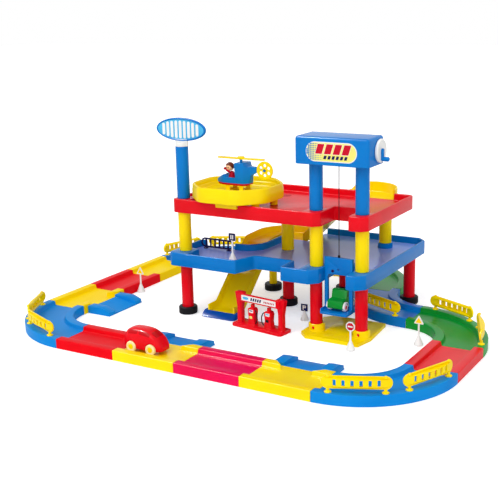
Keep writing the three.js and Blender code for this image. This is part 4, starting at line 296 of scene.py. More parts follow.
def unit(rows):
    """Each row divided by its length."""
    return rows / np.linalg.norm(rows, axis=1)[:, None]


def fillet(corners, steps=4, closed=True):
    """Outline in which each corner is an arc of its radius that touches both sides, as steps + 1 points.

    The arc's middle lies on the bisector at radius / sine of half the corner's angle, and its ends lie on
    the sides at radius / tangent of that half angle.
    """
    place, radius = corner_table(corners)
    back, ahead = unit(np.roll(place, 1, 0) - place), unit(np.roll(place, -1, 0) - place)
    half = np.arccos(np.clip((back * ahead).sum(1), -1.0, 1.0)) / 2
    bisector = back + ahead
    size = np.linalg.norm(bisector, axis=1)
    bisector /= np.where(size < TINY, 1.0, size)[:, None]
    half = np.where(radius > 0, half, 1.0)
    middle = place + bisector * (radius / np.sin(half))[:, None]
    reach = (radius / np.tan(half))[:, None]
    start, stop = place + back * reach - middle, place + ahead * reach - middle
    first = np.arctan2(start[:, 1], start[:, 0])
    sweep = (np.arctan2(stop[:, 1], stop[:, 0]) - first + np.pi) % (2 * np.pi) - np.pi
    angle = first[:, None] + sweep[:, None] * np.linspace(0, 1, steps + 1)
    arcs = middle[:, None] + radius[:, None, None] * np.stack([np.cos(angle), np.sin(angle)], -1)
    if not closed:
        radius[[0, -1]] = 0.0
    return np.concatenate([arcs[k] if radius[k] > 0 else place[k:k + 1] for k in range(len(place))])


def offset(corners, distance):
    """Corners of an anticlockwise outline moved inwards by a distance, with their arcs kept parallel.

    A corner moves along the mean normal of its two sides, by the distance / the cosine of half its turn.
    """
    place, radius = corner_table(corners)
    along, onward = unit(place - np.roll(place, 1, 0)), unit(np.roll(place, -1, 0) - place)
    normal = unit(np.stack([-along[:, 1] - onward[:, 1], along[:, 0] + onward[:, 0]], -1))
    lean = normal[:, 1] * onward[:, 0] - normal[:, 0] * onward[:, 1]
    moved = place + normal * (distance / lean)[:, None]
    convex = along[:, 0] * onward[:, 1] - along[:, 1] * onward[:, 0] > 0
    parallel = np.maximum(radius + np.where(convex, -distance, distance), LEAST_RADIUS)
    return np.column_stack([moved, np.where(radius > 0, parallel, 0.0)]).tolist()


print("a corner with a radius becomes", len(fillet([(0, 0, 1), (9, 0), (0, 9)])) - 2, "points")

# %% Common outlines
def box_corners(x0, x1, y0, y1, radius):
    """Corners of a rectangle, anticlockwise, with one radius."""
    return [(x0, y0, radius), (x1, y0, radius), (x1, y1, radius), (x0, y1, radius)]


def soft_box(x, y, width, height, radius, steps=6):
    """Outline of a rounded rectangle with its middle at x and y."""
    half_x, half_y = width / 2, height / 2
    return fillet(box_corners(x - half_x, x + half_x, y - half_y, y + half_y, radius), steps)


def full_turn(count):
    """Angles of count points all round a circle."""
    return np.linspace(0, 2 * np.pi, count, endpoint=False)


def oval(x, y, half_x, half_y, count):
    """Outline of an ellipse: x + half_x cos a, y + half_y sin a."""
    angle = full_turn(count)
    return np.column_stack([x + half_x * np.cos(angle), y + half_y * np.sin(angle)])


print("a rounded square has", len(soft_box(0, 0, 9, 9, 1)), "points")

# %% [markdown]
# ## From rings to a piece
# A ring is a closed row of points. A stack of rings, all with the same number of points, is a grid with
# one closed direction, and four neighbours on that grid make a face. The first and the last ring are
# closed by one face each. The sign of the enclosed volume says whether the faces look outwards.

# %% Mesh helpers
def skin_faces(count, length):
    """Faces of count rings of length points: a point, its neighbour, both in the next ring, and two ends."""
    row = np.arange(count - 1)[:, None] * length
    here = np.arange(length)
    beside = (here + 1) % length
    quads = np.stack([row + here, row + beside, row + length + beside, row + length + here], -1)
    ends = [list(range(length))[::-1], list(range((count - 1) * length, count * length))]
    return quads.reshape(-1, 4).tolist() + ends


def outward(points, faces):
    """Turns all faces round if the volume under them, a sum of triple products, is negative."""
    volume = 0.0
    for face in faces:
        corner = points[face]
        fan = np.cross(corner[1:-1], corner[2:])
        volume += float((corner[0] * fan).sum())
    return faces if volume > 0 else [face[::-1] for face in faces]


def colour_faces(mesh, paint):
    """Give faces another material: paint lists materials, each with a test of middles in millimetres."""
    middle = np.zeros(len(mesh.polygons) * 3)
    mesh.polygons.foreach_get("center", middle)
    middle = middle.reshape(-1, 3) / MM
    choice = np.zeros(len(middle), int)
    for material, test in paint:
        mesh.materials.append(material)
        choice[test(middle)] = len(mesh.materials) - 1
    mesh.polygons.foreach_set("material_index", choice)


print("a box of three rings has", len(skin_faces(3, 4)), "faces")

# %% Pieces
PIECES = []
SHARP_ANGLE, EDGE_LIMIT, EDGE_SEGMENTS = 0.7, 0.6, 2


def round_edges(made, width):
    """Bevel of width millimetres on each edge that turns by more than the limit, shaded as one surface."""
    rounding = made.modifiers.new("rounding", "BEVEL")
    rounding.width = width * MM
    rounding.segments = EDGE_SEGMENTS
    rounding.limit_method = "ANGLE"
    rounding.angle_limit = EDGE_LIMIT
    rounding.harden_normals = True


def hand_over(made, body, slot, nodes):
    """Tie an object to its body and let it stand for measured nodes. The slot is not used."""
    if body:
        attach(made, body)
    if nodes:
        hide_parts(*nodes)
    PIECES.append(made)


def piece(title, points, faces, material, body, nodes=(), bevel=0.0, slot=None, paint=()):
    """A smooth piece in metres from points in millimetres, with its edges rounded by bevel millimetres."""
    points = np.asarray(points)
    mesh = bpy.data.meshes.new(title)
    mesh.from_pydata((points * MM).tolist(), [], outward(points, faces))
    mesh.materials.append(material)
    colour_faces(mesh, paint)
    mesh.shade_smooth()
    made = bpy.data.objects.new(title, mesh)
    bpy.context.scene.collection.objects.link(made)
    if bevel:
        mesh.update()
        round_edges(made, bevel)
    else:
        mesh.set_sharp_from_angle(angle=SHARP_ANGLE)
    hand_over(made, body, slot or SLOT_OF[material.name], nodes)
    return made


def rings_piece(title, rings, material, body, nodes=(), **more):
    """A piece from rings, as an array of rings, points and their x, y, z."""
    rings = np.asarray(rings, float)
    faces = skin_faces(*rings.shape[:2])
    return piece(title, rings.reshape(-1, 3), faces, material, body, nodes, **more)


print("edges that turn by more than", SHARP_ANGLE, "radians are drawn sharp")

# %% Stacked and turned pieces
TIP = 0.1
NEEDLE = 0.02
AXES = {"z": np.eye(3), "x": np.array([[0, 0, 1.0], [1, 0, 0], [0, 1, 0]]),
        "y": np.array([[0, 1.0, 0], [0, 0, 1], [1, 0, 0]])}


def stack(levels, steps=4):
    """Rings from rows of corners, inset and height: the outline drawn in by the inset, at the height."""
    rings = []
    for corners, inset, height in levels:
        flat = fillet(offset(corners, inset), steps)
        rings.append(np.column_stack([flat, np.full(len(flat), float(height))]))
    return np.stack(rings)


def turned(title, centre, profile, material, body, nodes=(), axis="z", steps=40, **more):
    """A turned piece: each radius r and height h of the profile is the ring r cos a, r sin a, h on the axis.

    The profile starts and ends at the radius TIP, where a small face closes it, and its inner corners may be
    arcs.
    """
    line = fillet(profile, 3, closed=False)
    angle = full_turn(steps)
    ring = np.stack([np.cos(angle), np.sin(angle), np.zeros(steps)], -1)
    rings = ring[None] * np.maximum(line[:, 0], NEEDLE)[:, None, None]
    rings[:, :, 2] = line[:, 1][:, None]
    rings = rings @ AXES[axis].T + np.asarray(centre, float)
    return rings_piece(title, rings, material, body, nodes, **more)


def turn_about_z(points, degrees):
    """Points turned about the upright axis: x cos a - y sin a, x sin a + y cos a."""
    c, s = np.cos(np.radians(degrees)), np.sin(np.radians(degrees))
    x, y = points[..., 0], points[..., 1]
    return np.concatenate([np.stack([c * x - s * y, s * x + c * y], -1), points[..., 2:]], -1)


print("a quarter turn of (1, 0):", turn_about_z(np.array([1.0, 0.0]), 90).round(3).tolist())

# %% [markdown]
# ## Road
# The road is a loop of short shells with two broad curbs and a sunken lane. One section serves
# straights and bends: it is carried along a line or round a quarter circle. Beside a parking bay the
# inner curb opens between two ears with slanting ends. A boolean could cut that opening, but here it is
# the same grid, with the curb's points lowered between two slanted rows.

# %% Road sections
ROAD, WIDTH, CURB, CURB_TOP, LANE_TOP, SHELL = 156.0, 112.0, 20.0, 22.0, 12.0, 2.5
HALF, LANE = WIDTH / 2, WIDTH / 2 - CURB
CURB_ROUND, LANE_ROUND, BANK = 1.8, 2.5, 2.0
SECTION = fillet([
    (-HALF, 0), (-HALF + SHELL, 0), (-HALF + SHELL, CURB_TOP - SHELL), (-LANE - SHELL, CURB_TOP - SHELL),
    (-LANE + BANK - SHELL, LANE_TOP - SHELL), (LANE - BANK + SHELL, LANE_TOP - SHELL),
    (LANE + SHELL, CURB_TOP - SHELL), (HALF - SHELL, CURB_TOP - SHELL), (HALF - SHELL, 0), (HALF, 0),
    (HALF, CURB_TOP, CURB_ROUND), (LANE, CURB_TOP, CURB_ROUND), (LANE - BANK, LANE_TOP, LANE_ROUND),
    (-LANE + BANK, LANE_TOP, LANE_ROUND), (-LANE, CURB_TOP, CURB_ROUND), (-HALF, CURB_TOP, CURB_ROUND)], 3)
GAP, EAR, EAR_END = 0.35, 24.0, 1.5


def straight_rings(opening):
    """Section carried along x; at an opening, curb points between two slanted rows sink to the lane.

    A slanted row lies at EAR + CURB, less the distance of each point from the lane's edge.
    """
    across, height = SECTION[:, 0], SECTION[:, 1]
    plain = np.ones(len(across))
    if not opening:
        rows = [plain * x for x in np.linspace(GAP, ROAD - GAP, 9)]
        lows = [height] * len(rows)
    else:
        near = EAR + CURB - np.clip(opening * across - LANE, 0, CURB)
        under = np.abs(height - CURB_TOP + SHELL) < 0.1
        on_curb = (opening * across > LANE - 3) & (height > LANE_TOP)
        sunk = np.where(on_curb, LANE_TOP - SHELL * under, height)
        rows = [plain * GAP, near - EAR_END, near, plain * ROAD / 2, ROAD - near, ROAD - near + EAR_END,
                plain * (ROAD - GAP)]
        lows = [height, height, sunk, sunk, sunk, height, height]
    return np.stack([np.column_stack([x, across, z]) for x, z in zip(rows, lows)])


def corner_rings():
    """Section carried round a quarter circle: (ROAD + across) cos a, (ROAD + across) sin a, height."""
    trim = GAP / ROAD
    angle = np.linspace(trim, np.pi / 2 - trim, 31)
    radius = ROAD + SECTION[:, 0]
    return np.stack([np.outer(np.cos(angle), radius), np.outer(np.sin(angle), radius),
                     np.tile(SECTION[:, 1], (len(angle), 1))], -1)


print("the road's section has", len(SECTION), "points")

# %% Road pieces
# A row is a name, a place in road lengths, a heading in degrees, a plastic, and 1 where the curb opens.
STRAIGHTS = [
    ("road_front_1", -2, -2.5, 0, WORN_RED, 0), ("road_front_2", -1, -2.5, 0, YELLOW, 1),
    ("road_front_3", 0, -2.5, 0, MAGENTA, 0), ("road_front_4", 1, -2.5, 0, YELLOW, 1),
    ("road_right", 3, -1.5, 90, RED, 0), ("road_rear_1", 0, 2.5, 180, YELLOW, 0),
    ("road_rear_2", -1, 2.5, 180, RED, 0), ("road_left_1", -3, 1.5, 270, WORN_YELLOW, 0),
    ("road_left_2", -3, 0.5, 270, WORN_RED, 0), ("road_left_3", -3, -0.5, 270, WORN_YELLOW, 1)]
TURNS = [
    ("corner_front_left", -2, -1.5, 180, WORN_BLUE), ("corner_front_right", 2, -1.5, 270, WORN_BLUE),
    ("corner_rear_right", 2, -0.5, 0, GREEN), ("corner_inner", 2, 1.5, 180, BLUE),
    ("corner_rear_middle", 0, 1.5, 0, GREEN), ("corner_rear_left", -2, 1.5, 90, BLUE)]
ROAD_BEVEL = 0.7
ROAD_SHAPES = [(node, straight_rings(opening), x, y, heading, colour)
               for node, x, y, heading, colour, opening in STRAIGHTS]
ROAD_SHAPES += [(node, corner_rings(), x, y, heading, colour) for node, x, y, heading, colour in TURNS]
for node, rings, x, y, heading, colour in ROAD_SHAPES:
    placed = turn_about_z(rings, heading) + np.array([x * ROAD, y * ROAD, 0.0])
    rings_piece("moulded_" + node, placed, colour, "garage", [node], bevel=ROAD_BEVEL)
print("road:", len(STRAIGHTS), "straights and", len(TURNS), "bends")

# %% [markdown]
# ## Fences
# Yellow picket fences stand on the outer curb of the bends. The panel is a flat shape with round ends
# and six slots. A filled curve makes such a shape, holes included, without a boolean. Its points are
# then bent round the bend: the distance along the panel becomes an angle, and the distance across it is
# added to the radius.

# %% Fence panels
def cut_sheet(outlines, thickness, soft):
    """Points and faces of a flat shape with holes, in millimetres: a filled curve with rounded edges."""
    sheet = bpy.data.curves.new("cut_sheet", "CURVE")
    sheet.dimensions = "2D"
    sheet.fill_mode = "BOTH"
    sheet.extrude = thickness / 2 - soft
    sheet.bevel_depth = soft
    sheet.bevel_resolution = 1
    for outline in outlines:
        line = sheet.splines.new("POLY")
        line.points.add(len(outline) - 1)
        spots = np.column_stack([outline, np.zeros(len(outline)), np.ones(len(outline))])
        line.points.foreach_set("co", spots.ravel())
        line.use_cyclic_u = True
    holder = bpy.data.objects.new("cut_sheet", sheet)
    mesh = bpy.data.meshes.new_from_object(holder)
    points = np.zeros(len(mesh.vertices) * 3)
    mesh.vertices.foreach_get("co", points)
    faces = [list(polygon.vertices) for polygon in mesh.polygons]
    bpy.data.objects.remove(holder)
    bpy.data.curves.remove(sheet)
    bpy.data.meshes.remove(mesh)
    return points.reshape(-1, 3), faces


FENCE_LONG, FENCE_HIGH, FENCE_MIDDLE, FENCE_THICK, FENCE_SOFT = 133.0, 24.0, 20.0, 4.0, 0.8
SLOTS, SLOT_PITCH, SLOT_WIDE, SLOT_HIGH, SLOT_ROUND = 6, 16.5, 7.5, 14.0, 1.8
END_SHORT = 0.1
PANEL = [soft_box(0, FENCE_MIDDLE, FENCE_LONG, FENCE_HIGH, FENCE_HIGH / 2 - END_SHORT, 8)]
PANEL += [soft_box((k - (SLOTS - 1) / 2) * SLOT_PITCH, FENCE_MIDDLE, SLOT_WIDE, SLOT_HIGH, SLOT_ROUND, 3)
          for k in range(SLOTS)]
PANEL_POINTS, PANEL_FACES = cut_sheet(PANEL, FENCE_THICK, FENCE_SOFT)
print("a fence panel has", len(PANEL_FACES), "faces")

# %% Fences
FENCE_RADIUS, FENCE_PEG = 202.0, 54.0
FENCE_ANGLES = {"corner_front_left": (26, 67), "corner_front_right": (24, 68), "corner_inner": (66,),
                "corner_rear_right": (20.5, 65), "corner_rear_left": (25, 69.5)}
PEG_PROFILE = [(TIP, -0.2), (7, -0.2, 0.4), (7, 2.2, 1.2), (3.2, 3.2, 1.0), (3.0, 9), (TIP, 9)]
KNOB_PROFILE = [(TIP, 29), (3.0, 29), (3.4, 33.5, 2.0), (TIP, 34.5)]


def bend(points, centre_x, centre_y, degrees):
    """Local x runs round the bend as x / radius, local y adds to the radius, local z rises from the curb."""
    angle = np.radians(degrees) - points[:, 0] / FENCE_RADIUS
    radius = FENCE_RADIUS + points[:, 1]
    return np.column_stack([centre_x + radius * np.cos(angle), centre_y + radius * np.sin(angle),
                            CURB_TOP + points[:, 2]])


def fence(title, node, x, y, degrees):
    """One fence: the bent panel, two pegs with round feet, and a knob over each peg."""
    upright = PANEL_POINTS[:, [0, 2, 1]]
    piece(title + "_panel", bend(upright, x, y, degrees), PANEL_FACES, YELLOW, "garage", [node])
    for side, name in ((-1, "left"), (1, "right")):
        peg = bend(np.array([[side * FENCE_PEG, 0.0, 0.0]]), x, y, degrees)[0]
        turned(f"{title}_{name}_foot", peg, PEG_PROFILE, YELLOW, "garage", [node], steps=24)
        turned(f"{title}_{name}_knob", peg, KNOB_PROFILE, YELLOW, "garage", [node], steps=16)


for node, x, y, heading, colour in TURNS:
    for number, turn in enumerate(FENCE_ANGLES.get(node, ()), 1):
        fence(f"fence_{node.removeprefix('corner_')}_{number}", node, x * ROAD, y * ROAD, heading + turn)
print("fences:", sum(len(turns) for turns in FENCE_ANGLES.values()))

# %% [markdown]
# ## Pieces kept from the frame
# Some measured pieces already have the right shape, only with hard edges. A copy of the mesh, with its
# loose triangles merged and its flat faces joined, takes a small rounded edge, as a mould gives every
# edge.

# %% Rounded copies
import bmesh

MERGE_WITHIN, FLAT_WITHIN = 1e-5, 0.02


def cut_level(work, height, only_top=False):
    """Cut a mesh along a level plane at a height in millimetres; only_top drops what is below it."""
    bmesh.ops.bisect_plane(work, geom=[*work.verts, *work.edges, *work.faces], plane_co=(0, 0, height * MM),
                           plane_no=(0, 0, 1), clear_inner=only_top)


def rounded_copy(node, material, body, width=0.8, level=None, trim=None, paint=(), without=None):
    """Copy of a measured node: doubles merged, flat neighbours joined, sharp edges rounded by width.

    trim takes away what lies below a height and closes the cut, without takes away faces by a test of
    their corners and closes the hole, level cuts a new edge line at a height, and paint gives faces another
    material by a test of their middles. All of these are in millimetres.
    """
    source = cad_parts[node]
    mesh = bpy.data.meshes.new("rounded_" + node)
    work = bmesh.new()
    work.from_mesh(source.data)
    work.transform(source.matrix_world)
    bmesh.ops.remove_doubles(work, verts=work.verts, dist=MERGE_WITHIN)
    bmesh.ops.dissolve_limit(work, angle_limit=FLAT_WITHIN, verts=work.verts, edges=work.edges)
    if trim is not None:
        cut_level(work, trim, only_top=True)
        bmesh.ops.holes_fill(work, edges=work.edges, sides=0)
    if without is not None:
        gone = [face for face in work.faces if without(np.array([vert.co for vert in face.verts]) / MM)]
        bmesh.ops.delete(work, geom=gone, context="FACES")
        bmesh.ops.holes_fill(work, edges=work.edges, sides=0)
    if level is not None:
        cut_level(work, level)
    work.to_mesh(mesh)
    work.free()
    mesh.materials.clear()
    mesh.materials.append(material)
    colour_faces(mesh, paint)
    mesh.shade_smooth()
    made = bpy.data.objects.new("rounded_" + node, mesh)
    bpy.context.scene.collection.objects.link(made)
    round_edges(made, width)
    hand_over(made, body, SLOT_OF[material.name], [node])
    return made


COPIES = [("bay_front_left", WORN_BLUE, "garage", 0.7), ("bay_front_right", WORN_BLUE, "garage", 0.7),
          ("bay_left", WORN_BLUE, "garage", 0.7), ("slide_foot", DEEP_BLUE, "garage", 1.2),
          ("lift_base", YELLOW, "garage", 1.0), ("lift_cabin", BLUE, "cabin", 1.0),
          ("pump_station", RED, "garage", 0.8), ("heli_rotor", YELLOW, "main_rotor", 0.6)]
for node, material, body, width in COPIES:
    rounded_copy(node, material, body, width)
print("rounded copies:", len(COPIES), "of", len(PIECES), "pieces so far")

# %% [markdown]
# ## The two floors
# A floor is a tray with a rim that stands up and hangs down all round it. One stack of rings draws it:
# from the underside, down the inner face of the skirt, round its lower edge, up the outside, over the
# rim and down to the floor. Where a column stands, the inner outline steps in, so the rim widens to a
# solid block. Both floors have the same notch for the lift, so they share its corners.

# %% Floor helpers
MID, UPPER = 140.0, 266.0
RIM, RIM_REACH, RIM_SOFT, TRAY = 6.0, 16.0, 2.4, 3.0
SKIRT_IN, SKIRT_OUT = 0.3, 0.5
SIDE, NOTCH_LEFT, NOTCH_RIGHT, NOTCH_REAR, BLOCK = 278.0, 166.0, 236.0, -42.0, -68.0


def outer_notch(front, chamfer):
    """Corners of the outer edge from the left of the lift's notch to the floor's right side."""
    return [(NOTCH_LEFT - chamfer, front, 6), (NOTCH_LEFT, front + chamfer, 6), (NOTCH_LEFT, BLOCK, 0),
            (NOTCH_LEFT, NOTCH_REAR, 2), (NOTCH_RIGHT, NOTCH_REAR, 2), (NOTCH_RIGHT, BLOCK, 0),
            (NOTCH_RIGHT, front, 6), (SIDE - chamfer, front, 6), (SIDE, front + chamfer, 6),
            (SIDE, BLOCK, 0)]


def inner_notch(left, radius):
    """Corners of the inner edge round the same notch: behind the two blocks that hold the lift's columns."""
    return [(left, BLOCK, 3), (NOTCH_LEFT - RIM, BLOCK, 3), (NOTCH_LEFT - RIM, BLOCK + 8, 0),
            (NOTCH_LEFT - RIM, NOTCH_REAR + RIM, radius), (NOTCH_RIGHT + RIM, NOTCH_REAR + RIM, 6),
            (NOTCH_RIGHT + RIM, BLOCK + 8, 0), (NOTCH_RIGHT + RIM, BLOCK, 3), (SIDE - 2 * RIM, BLOCK, 3),
            (SIDE - RIM, BLOCK + 2, 1), (SIDE - RIM, BLOCK + 8, 0)]


def deck(title, outer, inner, floor_z, cuts, material, node, **more):
    """Rings from the underside over the skirt and rim to the floor; cuts lower the rim to a height in a box.

    A rounded edge is a quarter circle of the radius RIM_SOFT, given by inset and height at four points. The
    skirt's lower edges take the shares SKIRT_IN and SKIRT_OUT of that radius.
    """
    low, high = floor_z - RIM_REACH, floor_z + RIM_REACH
    arc = np.linspace(0, np.pi / 2, 4)
    down, up = RIM_SOFT * (1 - np.sin(arc)), RIM_SOFT * (1 - np.cos(arc))
    levels = [(inner, 0, floor_z - TRAY)]
    levels += [(inner, -a, low + b) for a, b in zip(SKIRT_IN * up[1:], SKIRT_IN * down[1:])]
    levels += [(outer, a, low + b) for a, b in zip(SKIRT_OUT * down, SKIRT_OUT * up)]
    levels += [(outer, b, high - a) for a, b in zip(down, up)]
    levels += [(inner, -a, high - b) for a, b in zip(down, up)]
    levels += [(inner, b, floor_z + a) for a, b in zip(down, up)]
    rings = stack(levels)
    for (x0, x1, y0, y1), top in cuts:
        x, y, z = rings[..., 0], rings[..., 1], rings[..., 2]
        inside = (x > x0) & (x < x1) & (y > y0) & (y < y1)
        rings[..., 2] = np.where(inside & (z > top), top, z)
    made = rings_piece(title, rings, material, "garage", [node], **more)
    print(title, "has", len(made.data.polygons), "faces")


# %% Middle floor
# Two corners lie close together where a rim is cut down, so that the cut has a steep end.
mid_outer = [
    (-223, -80, 0), (-223, -138, 12), (-172, -138, 0), (-39, -138, 6), (-20, -80, 12), (77, -80, 6),
    (77, -138, 6), (121, -138, 0), *outer_notch(-138, 18), (SIDE, 225, 12), (258, 245, 12), (8.4, 245, 0),
    (7.9, 245, 0), (0, 245, 0), (0, 153.7, 0), (-62, 153.7, 6), (-62, 142, 0), (-62, 141.5, 0), (-62, 3, 48),
    (-121, 3, 0), (-122, 3, 0), (-204, 3, 0), (-205, 3, 0), (-223, 3, 12)]
mid_inner = [
    (-217, -80, 0), (-172, -80, 6), (-172, -132, 0), (-43.6, -132, 6), (-24.3, -74, 12), (83, -74, 6),
    (83, -132, 3), (121, -132, 0), *inner_notch(121, 6), (SIDE - RIM, 222.5, 10), (255.5, 239, 10),
    (8.4, 239, 0), (7.9, 239, 0), (6, 239, 0), (6, 147.7, 0), (-56, 147.7, 3), (-56, 142, 0),
    (-56, 141.5, 0), (-56, -3, 50), (-121, -3, 0), (-122, -3, 0), (-204, -3, 0), (-205, -3, 0),
    (-217, -3, 10)]
SLIDE_EXIT, RAIL_GAP = (-64, 8, 141.7, 247), (-204.5, -121.5, -5, 5)
# painted reflection: the faces at the floor's height take the paler blue that stands for what the gloss
# shows
deck("middle_floor", mid_outer, mid_inner, MID, [(SLIDE_EXIT, MID), (RAIL_GAP, MID)], BLUE, "deck_mid",
     paint=[(FLOOR_SHEEN_BLUE, lambda middle: np.abs(middle[:, 2] - MID) < 0.2)])

# %% [markdown]
# ## Guard rail
# A small dark railing stands in the gap of the middle floor's rim. Like a fence it is a filled curve
# with holes, but its outer holes follow the round ends, and it stays straight.

# %% Guard rail
RAIL_LONG, RAIL_HIGH, RAIL_MIDDLE, RAIL_THICK, RAIL_SOFT = 91.0, 22.0, 15.0, 3.0, 0.7
RAIL_CELLS, RAIL_BAR, CELL_ROUND, CELL_END = 7, 2.6, 1.2, 7.8
RAIL_AT, RAIL_FOOT = np.array([-163.5, -17.0, MID]), 33.0
FOOT_PROFILE = [(TIP, 0.3), (6, 0.3, 0.4), (6, 2.0, 1.0), (2.4, 3.0, 0.8), (2.2, 6), (TIP, 6)]
rail_sheet = [soft_box(0, RAIL_MIDDLE, RAIL_LONG, RAIL_HIGH, RAIL_HIGH / 2 - END_SHORT, 8)]
cell = (RAIL_LONG - RAIL_BAR * (RAIL_CELLS + 1)) / RAIL_CELLS
low, high = RAIL_MIDDLE - RAIL_HIGH / 2 + RAIL_BAR, RAIL_MIDDLE + RAIL_HIGH / 2 - RAIL_BAR
for k in range(RAIL_CELLS):
    left = -RAIL_LONG / 2 + RAIL_BAR + k * (cell + RAIL_BAR)
    first, last = (CELL_END if k == 0 else CELL_ROUND), (CELL_END if k == RAIL_CELLS - 1 else CELL_ROUND)
    rail_sheet.append(fillet([(left, low, first), (left + cell, low, last), (left + cell, high, last),
                              (left, high, first)], 5))
rail_points, rail_faces = cut_sheet(rail_sheet, RAIL_THICK, RAIL_SOFT)
piece("guard_rail_panel", rail_points[:, [0, 2, 1]] + RAIL_AT, rail_faces, NAVY, "garage", ["guard_rail"])
for side, name in ((-1, "l"), (1, "r")):
    turned("guard_rail_foot_" + name, RAIL_AT + (side * RAIL_FOOT, 0, 0), FOOT_PROFILE, NAVY, "garage",
           ["guard_rail"], steps=24)
print("guard rail with", RAIL_CELLS, "cells of", round(cell, 2), "mm")

# %% [markdown]
# ## Upper floor
# The upper floor is the same kind of tray in red, one storey higher. Its rim sinks to the floor where
# the slide starts, and a little where the helipad's tab reaches over it. A boolean could cut both gaps,
# but lowered points leave the rim in one smooth skin.

# %% Upper floor
upper_outer = [
    (-217, -80, 0), (-217, -124, 12), (-172, -124, 0), (-94.5, -124, 0), (-93.5, -124, 0), (-34.5, -124, 0),
    (-33.5, -124, 0), (122, -124, 0), *outer_notch(-124, 14), (SIDE, 148, 12), (230.4, 148, 0),
    (229.8, 148, 0), (156.2, 148, 0), (155.6, 148, 0), (-217, 148, 12)]
upper_inner = [
    (-211, -80, 0), (-172, -80, 6), (-172, -118, 0), (-94.5, -118, 0), (-93.5, -118, 0), (-34.5, -118, 0),
    (-33.5, -118, 0), (122, -118, 0), *inner_notch(122, 12), (SIDE - RIM, 142, 10), (230.4, 142, 0),
    (229.8, 142, 0), (156.2, 142, 0), (155.6, 142, 0), (-211, 142, 10)]
SLIDE_START, TAB_GAP, TAB_RIM = (156, 230, 139, 150), (-94, -34, -126, -116), 10.0
deck("upper_floor", upper_outer, upper_inner, UPPER, [(SLIDE_START, UPPER), (TAB_GAP, UPPER + TAB_RIM)], RED,
     "deck_upper")

# %% [markdown]
# ## Columns, legs and feet
# The columns are plain tubes with a small bevel where two of them meet a floor. The feet are black
# rubber rings, and a collar stands on the middle floor. Cylinders would do, but a line turned about an
# upright axis also gives the rounded rims and the hollow of the feet.

# %% Columns and feet
SPIGOT, FOOT_SEAT = 5.0, 12.0
COLUMNS = [(RED, 14.0, FOOT_SEAT, ("leg_left", "leg_middle", "leg_rear", "leg_right")),
           (RED, 14.0, 0.0, ("leg_lift_left", "leg_lift_right")), (YELLOW, 10.0, FOOT_SEAT, ("post_slide",)),
           (YELLOW, 15.0, SPIGOT, ("column_left", "column_lift_left", "column_lift_right", "column_middle",
                                   "column_exit")),
           (BLUE, 15.0, SPIGOT, ("post_tower", "post_lift_left", "post_lift_right"))]


def box_mm(node):
    """Lowest and highest corner of a measured node, in millimetres."""
    low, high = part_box(node)
    return np.array(low) / MM, np.array(high) / MM


def column(node, material, radius, hidden):
    """A tube between the floors that it joins: the measured box, less what is hidden in its seats."""
    low, high = box_mm(node)
    x, y = (low[:2] + high[:2]) / 2
    bottom, top = low[2] + hidden, high[2] - SPIGOT
    turned(node + "_tube", (x, y, 0), [(TIP, bottom), (radius, bottom, 1.0), (radius, top, 1.0), (TIP, top)],
           material, "garage", [node])
    if hidden == FOOT_SEAT:
        turned(node + "_foot", (x, y, 0),
               [(TIP, 0.2), (21.5, 0.2, 1.5), (22.5, 3, 1.0), (22.5, 15, 1.0), (20.8, 18, 1.8),
                (radius + 2.2, 18, 0.8), (radius + 0.6, 16.8, 0.6), (TIP, 16.8)], BLACK, "garage", [node])


for material, radius, hidden, nodes in COLUMNS:
    for node in nodes:
        column(node, material, radius, hidden)
EXIT_COLUMN = (193, 181)
turned("exit_collar", (*EXIT_COLUMN, 0), [(TIP, 139), (18, 139), (18, 152, 1.5), (9.5, 152, 0.6), (9.5, 147),
                                          (TIP, 147)], BLUE, "garage", ["deck_mid"])
print("columns:", sum(len(row[-1]) for row in COLUMNS))

# %% [markdown]
# ## Slides
# Both slides are the same moulding: a quarter turn out of a floor, then a straight chute. A curve with
# a bevel object could carry the U-shaped section, but its corners would shear on the slope. Here the
# section is laid at stations, each with a place, a sideways and an upward direction.

# %% Slide helpers
SLIDE_HALF, SLIDE_WALL, SLIDE_WALL_TOP, SLIDE_DEPTH, TURN_INNER = 37.0, 4.0, 18.0, 4.0, 6.0
WALL_ROUND, TRACK_ROUND, HEEL_ROUND = 1.6, 2.5, 1.2
SLIDE_TRACK = SLIDE_HALF - SLIDE_WALL
SLIDE_SECTION = fillet([
    (-SLIDE_HALF, -SLIDE_DEPTH, HEEL_ROUND), (SLIDE_HALF, -SLIDE_DEPTH, HEEL_ROUND),
    (SLIDE_HALF, SLIDE_WALL_TOP, WALL_ROUND), (SLIDE_TRACK, SLIDE_WALL_TOP, WALL_ROUND),
    (SLIDE_TRACK, 0, TRACK_ROUND), (-SLIDE_TRACK, 0, TRACK_ROUND),
    (-SLIDE_TRACK, SLIDE_WALL_TOP, WALL_ROUND), (-SLIDE_HALF, SLIDE_WALL_TOP, WALL_ROUND)], 3)
TALL_WALL = 7.0
outer_wall = (SLIDE_SECTION[:, :1] > 0) & (SLIDE_SECTION[:, 1:] > SLIDE_WALL_TOP / 2)
TALL_SECTION = SLIDE_SECTION + [0, TALL_WALL] * outer_wall
EASE = 0.12


def fall_share(t):
    """Share of the drop at a share t of the run: a parabola at each end and a straight line between."""
    steep = 1 / (1 - EASE)
    first = steep * t * t / (2 * EASE)
    last = 1 - steep * (1 - t) ** 2 / (2 * EASE)
    return np.where(t < EASE, first, np.where(t > 1 - EASE, last, steep * (t - EASE / 2)))


def station(place, side):
    """One level station: a place and its sideways direction."""
    return np.array([place], float), np.array([side], float), np.array([[0, 0, 1.0]])


def quarter(pivot, z, first, count=17):
    """Stations on a level quarter turn to the left: the pivot + (cos a, sin a) * the middle radius."""
    angle = first + np.linspace(0, np.pi / 2, count)
    out = np.stack([np.cos(angle), np.sin(angle), np.zeros(count)], -1)
    place = np.array([*pivot, z]) + out * (TURN_INNER + SLIDE_HALF)
    return place, out, np.tile([0, 0, 1.0], (count, 1))


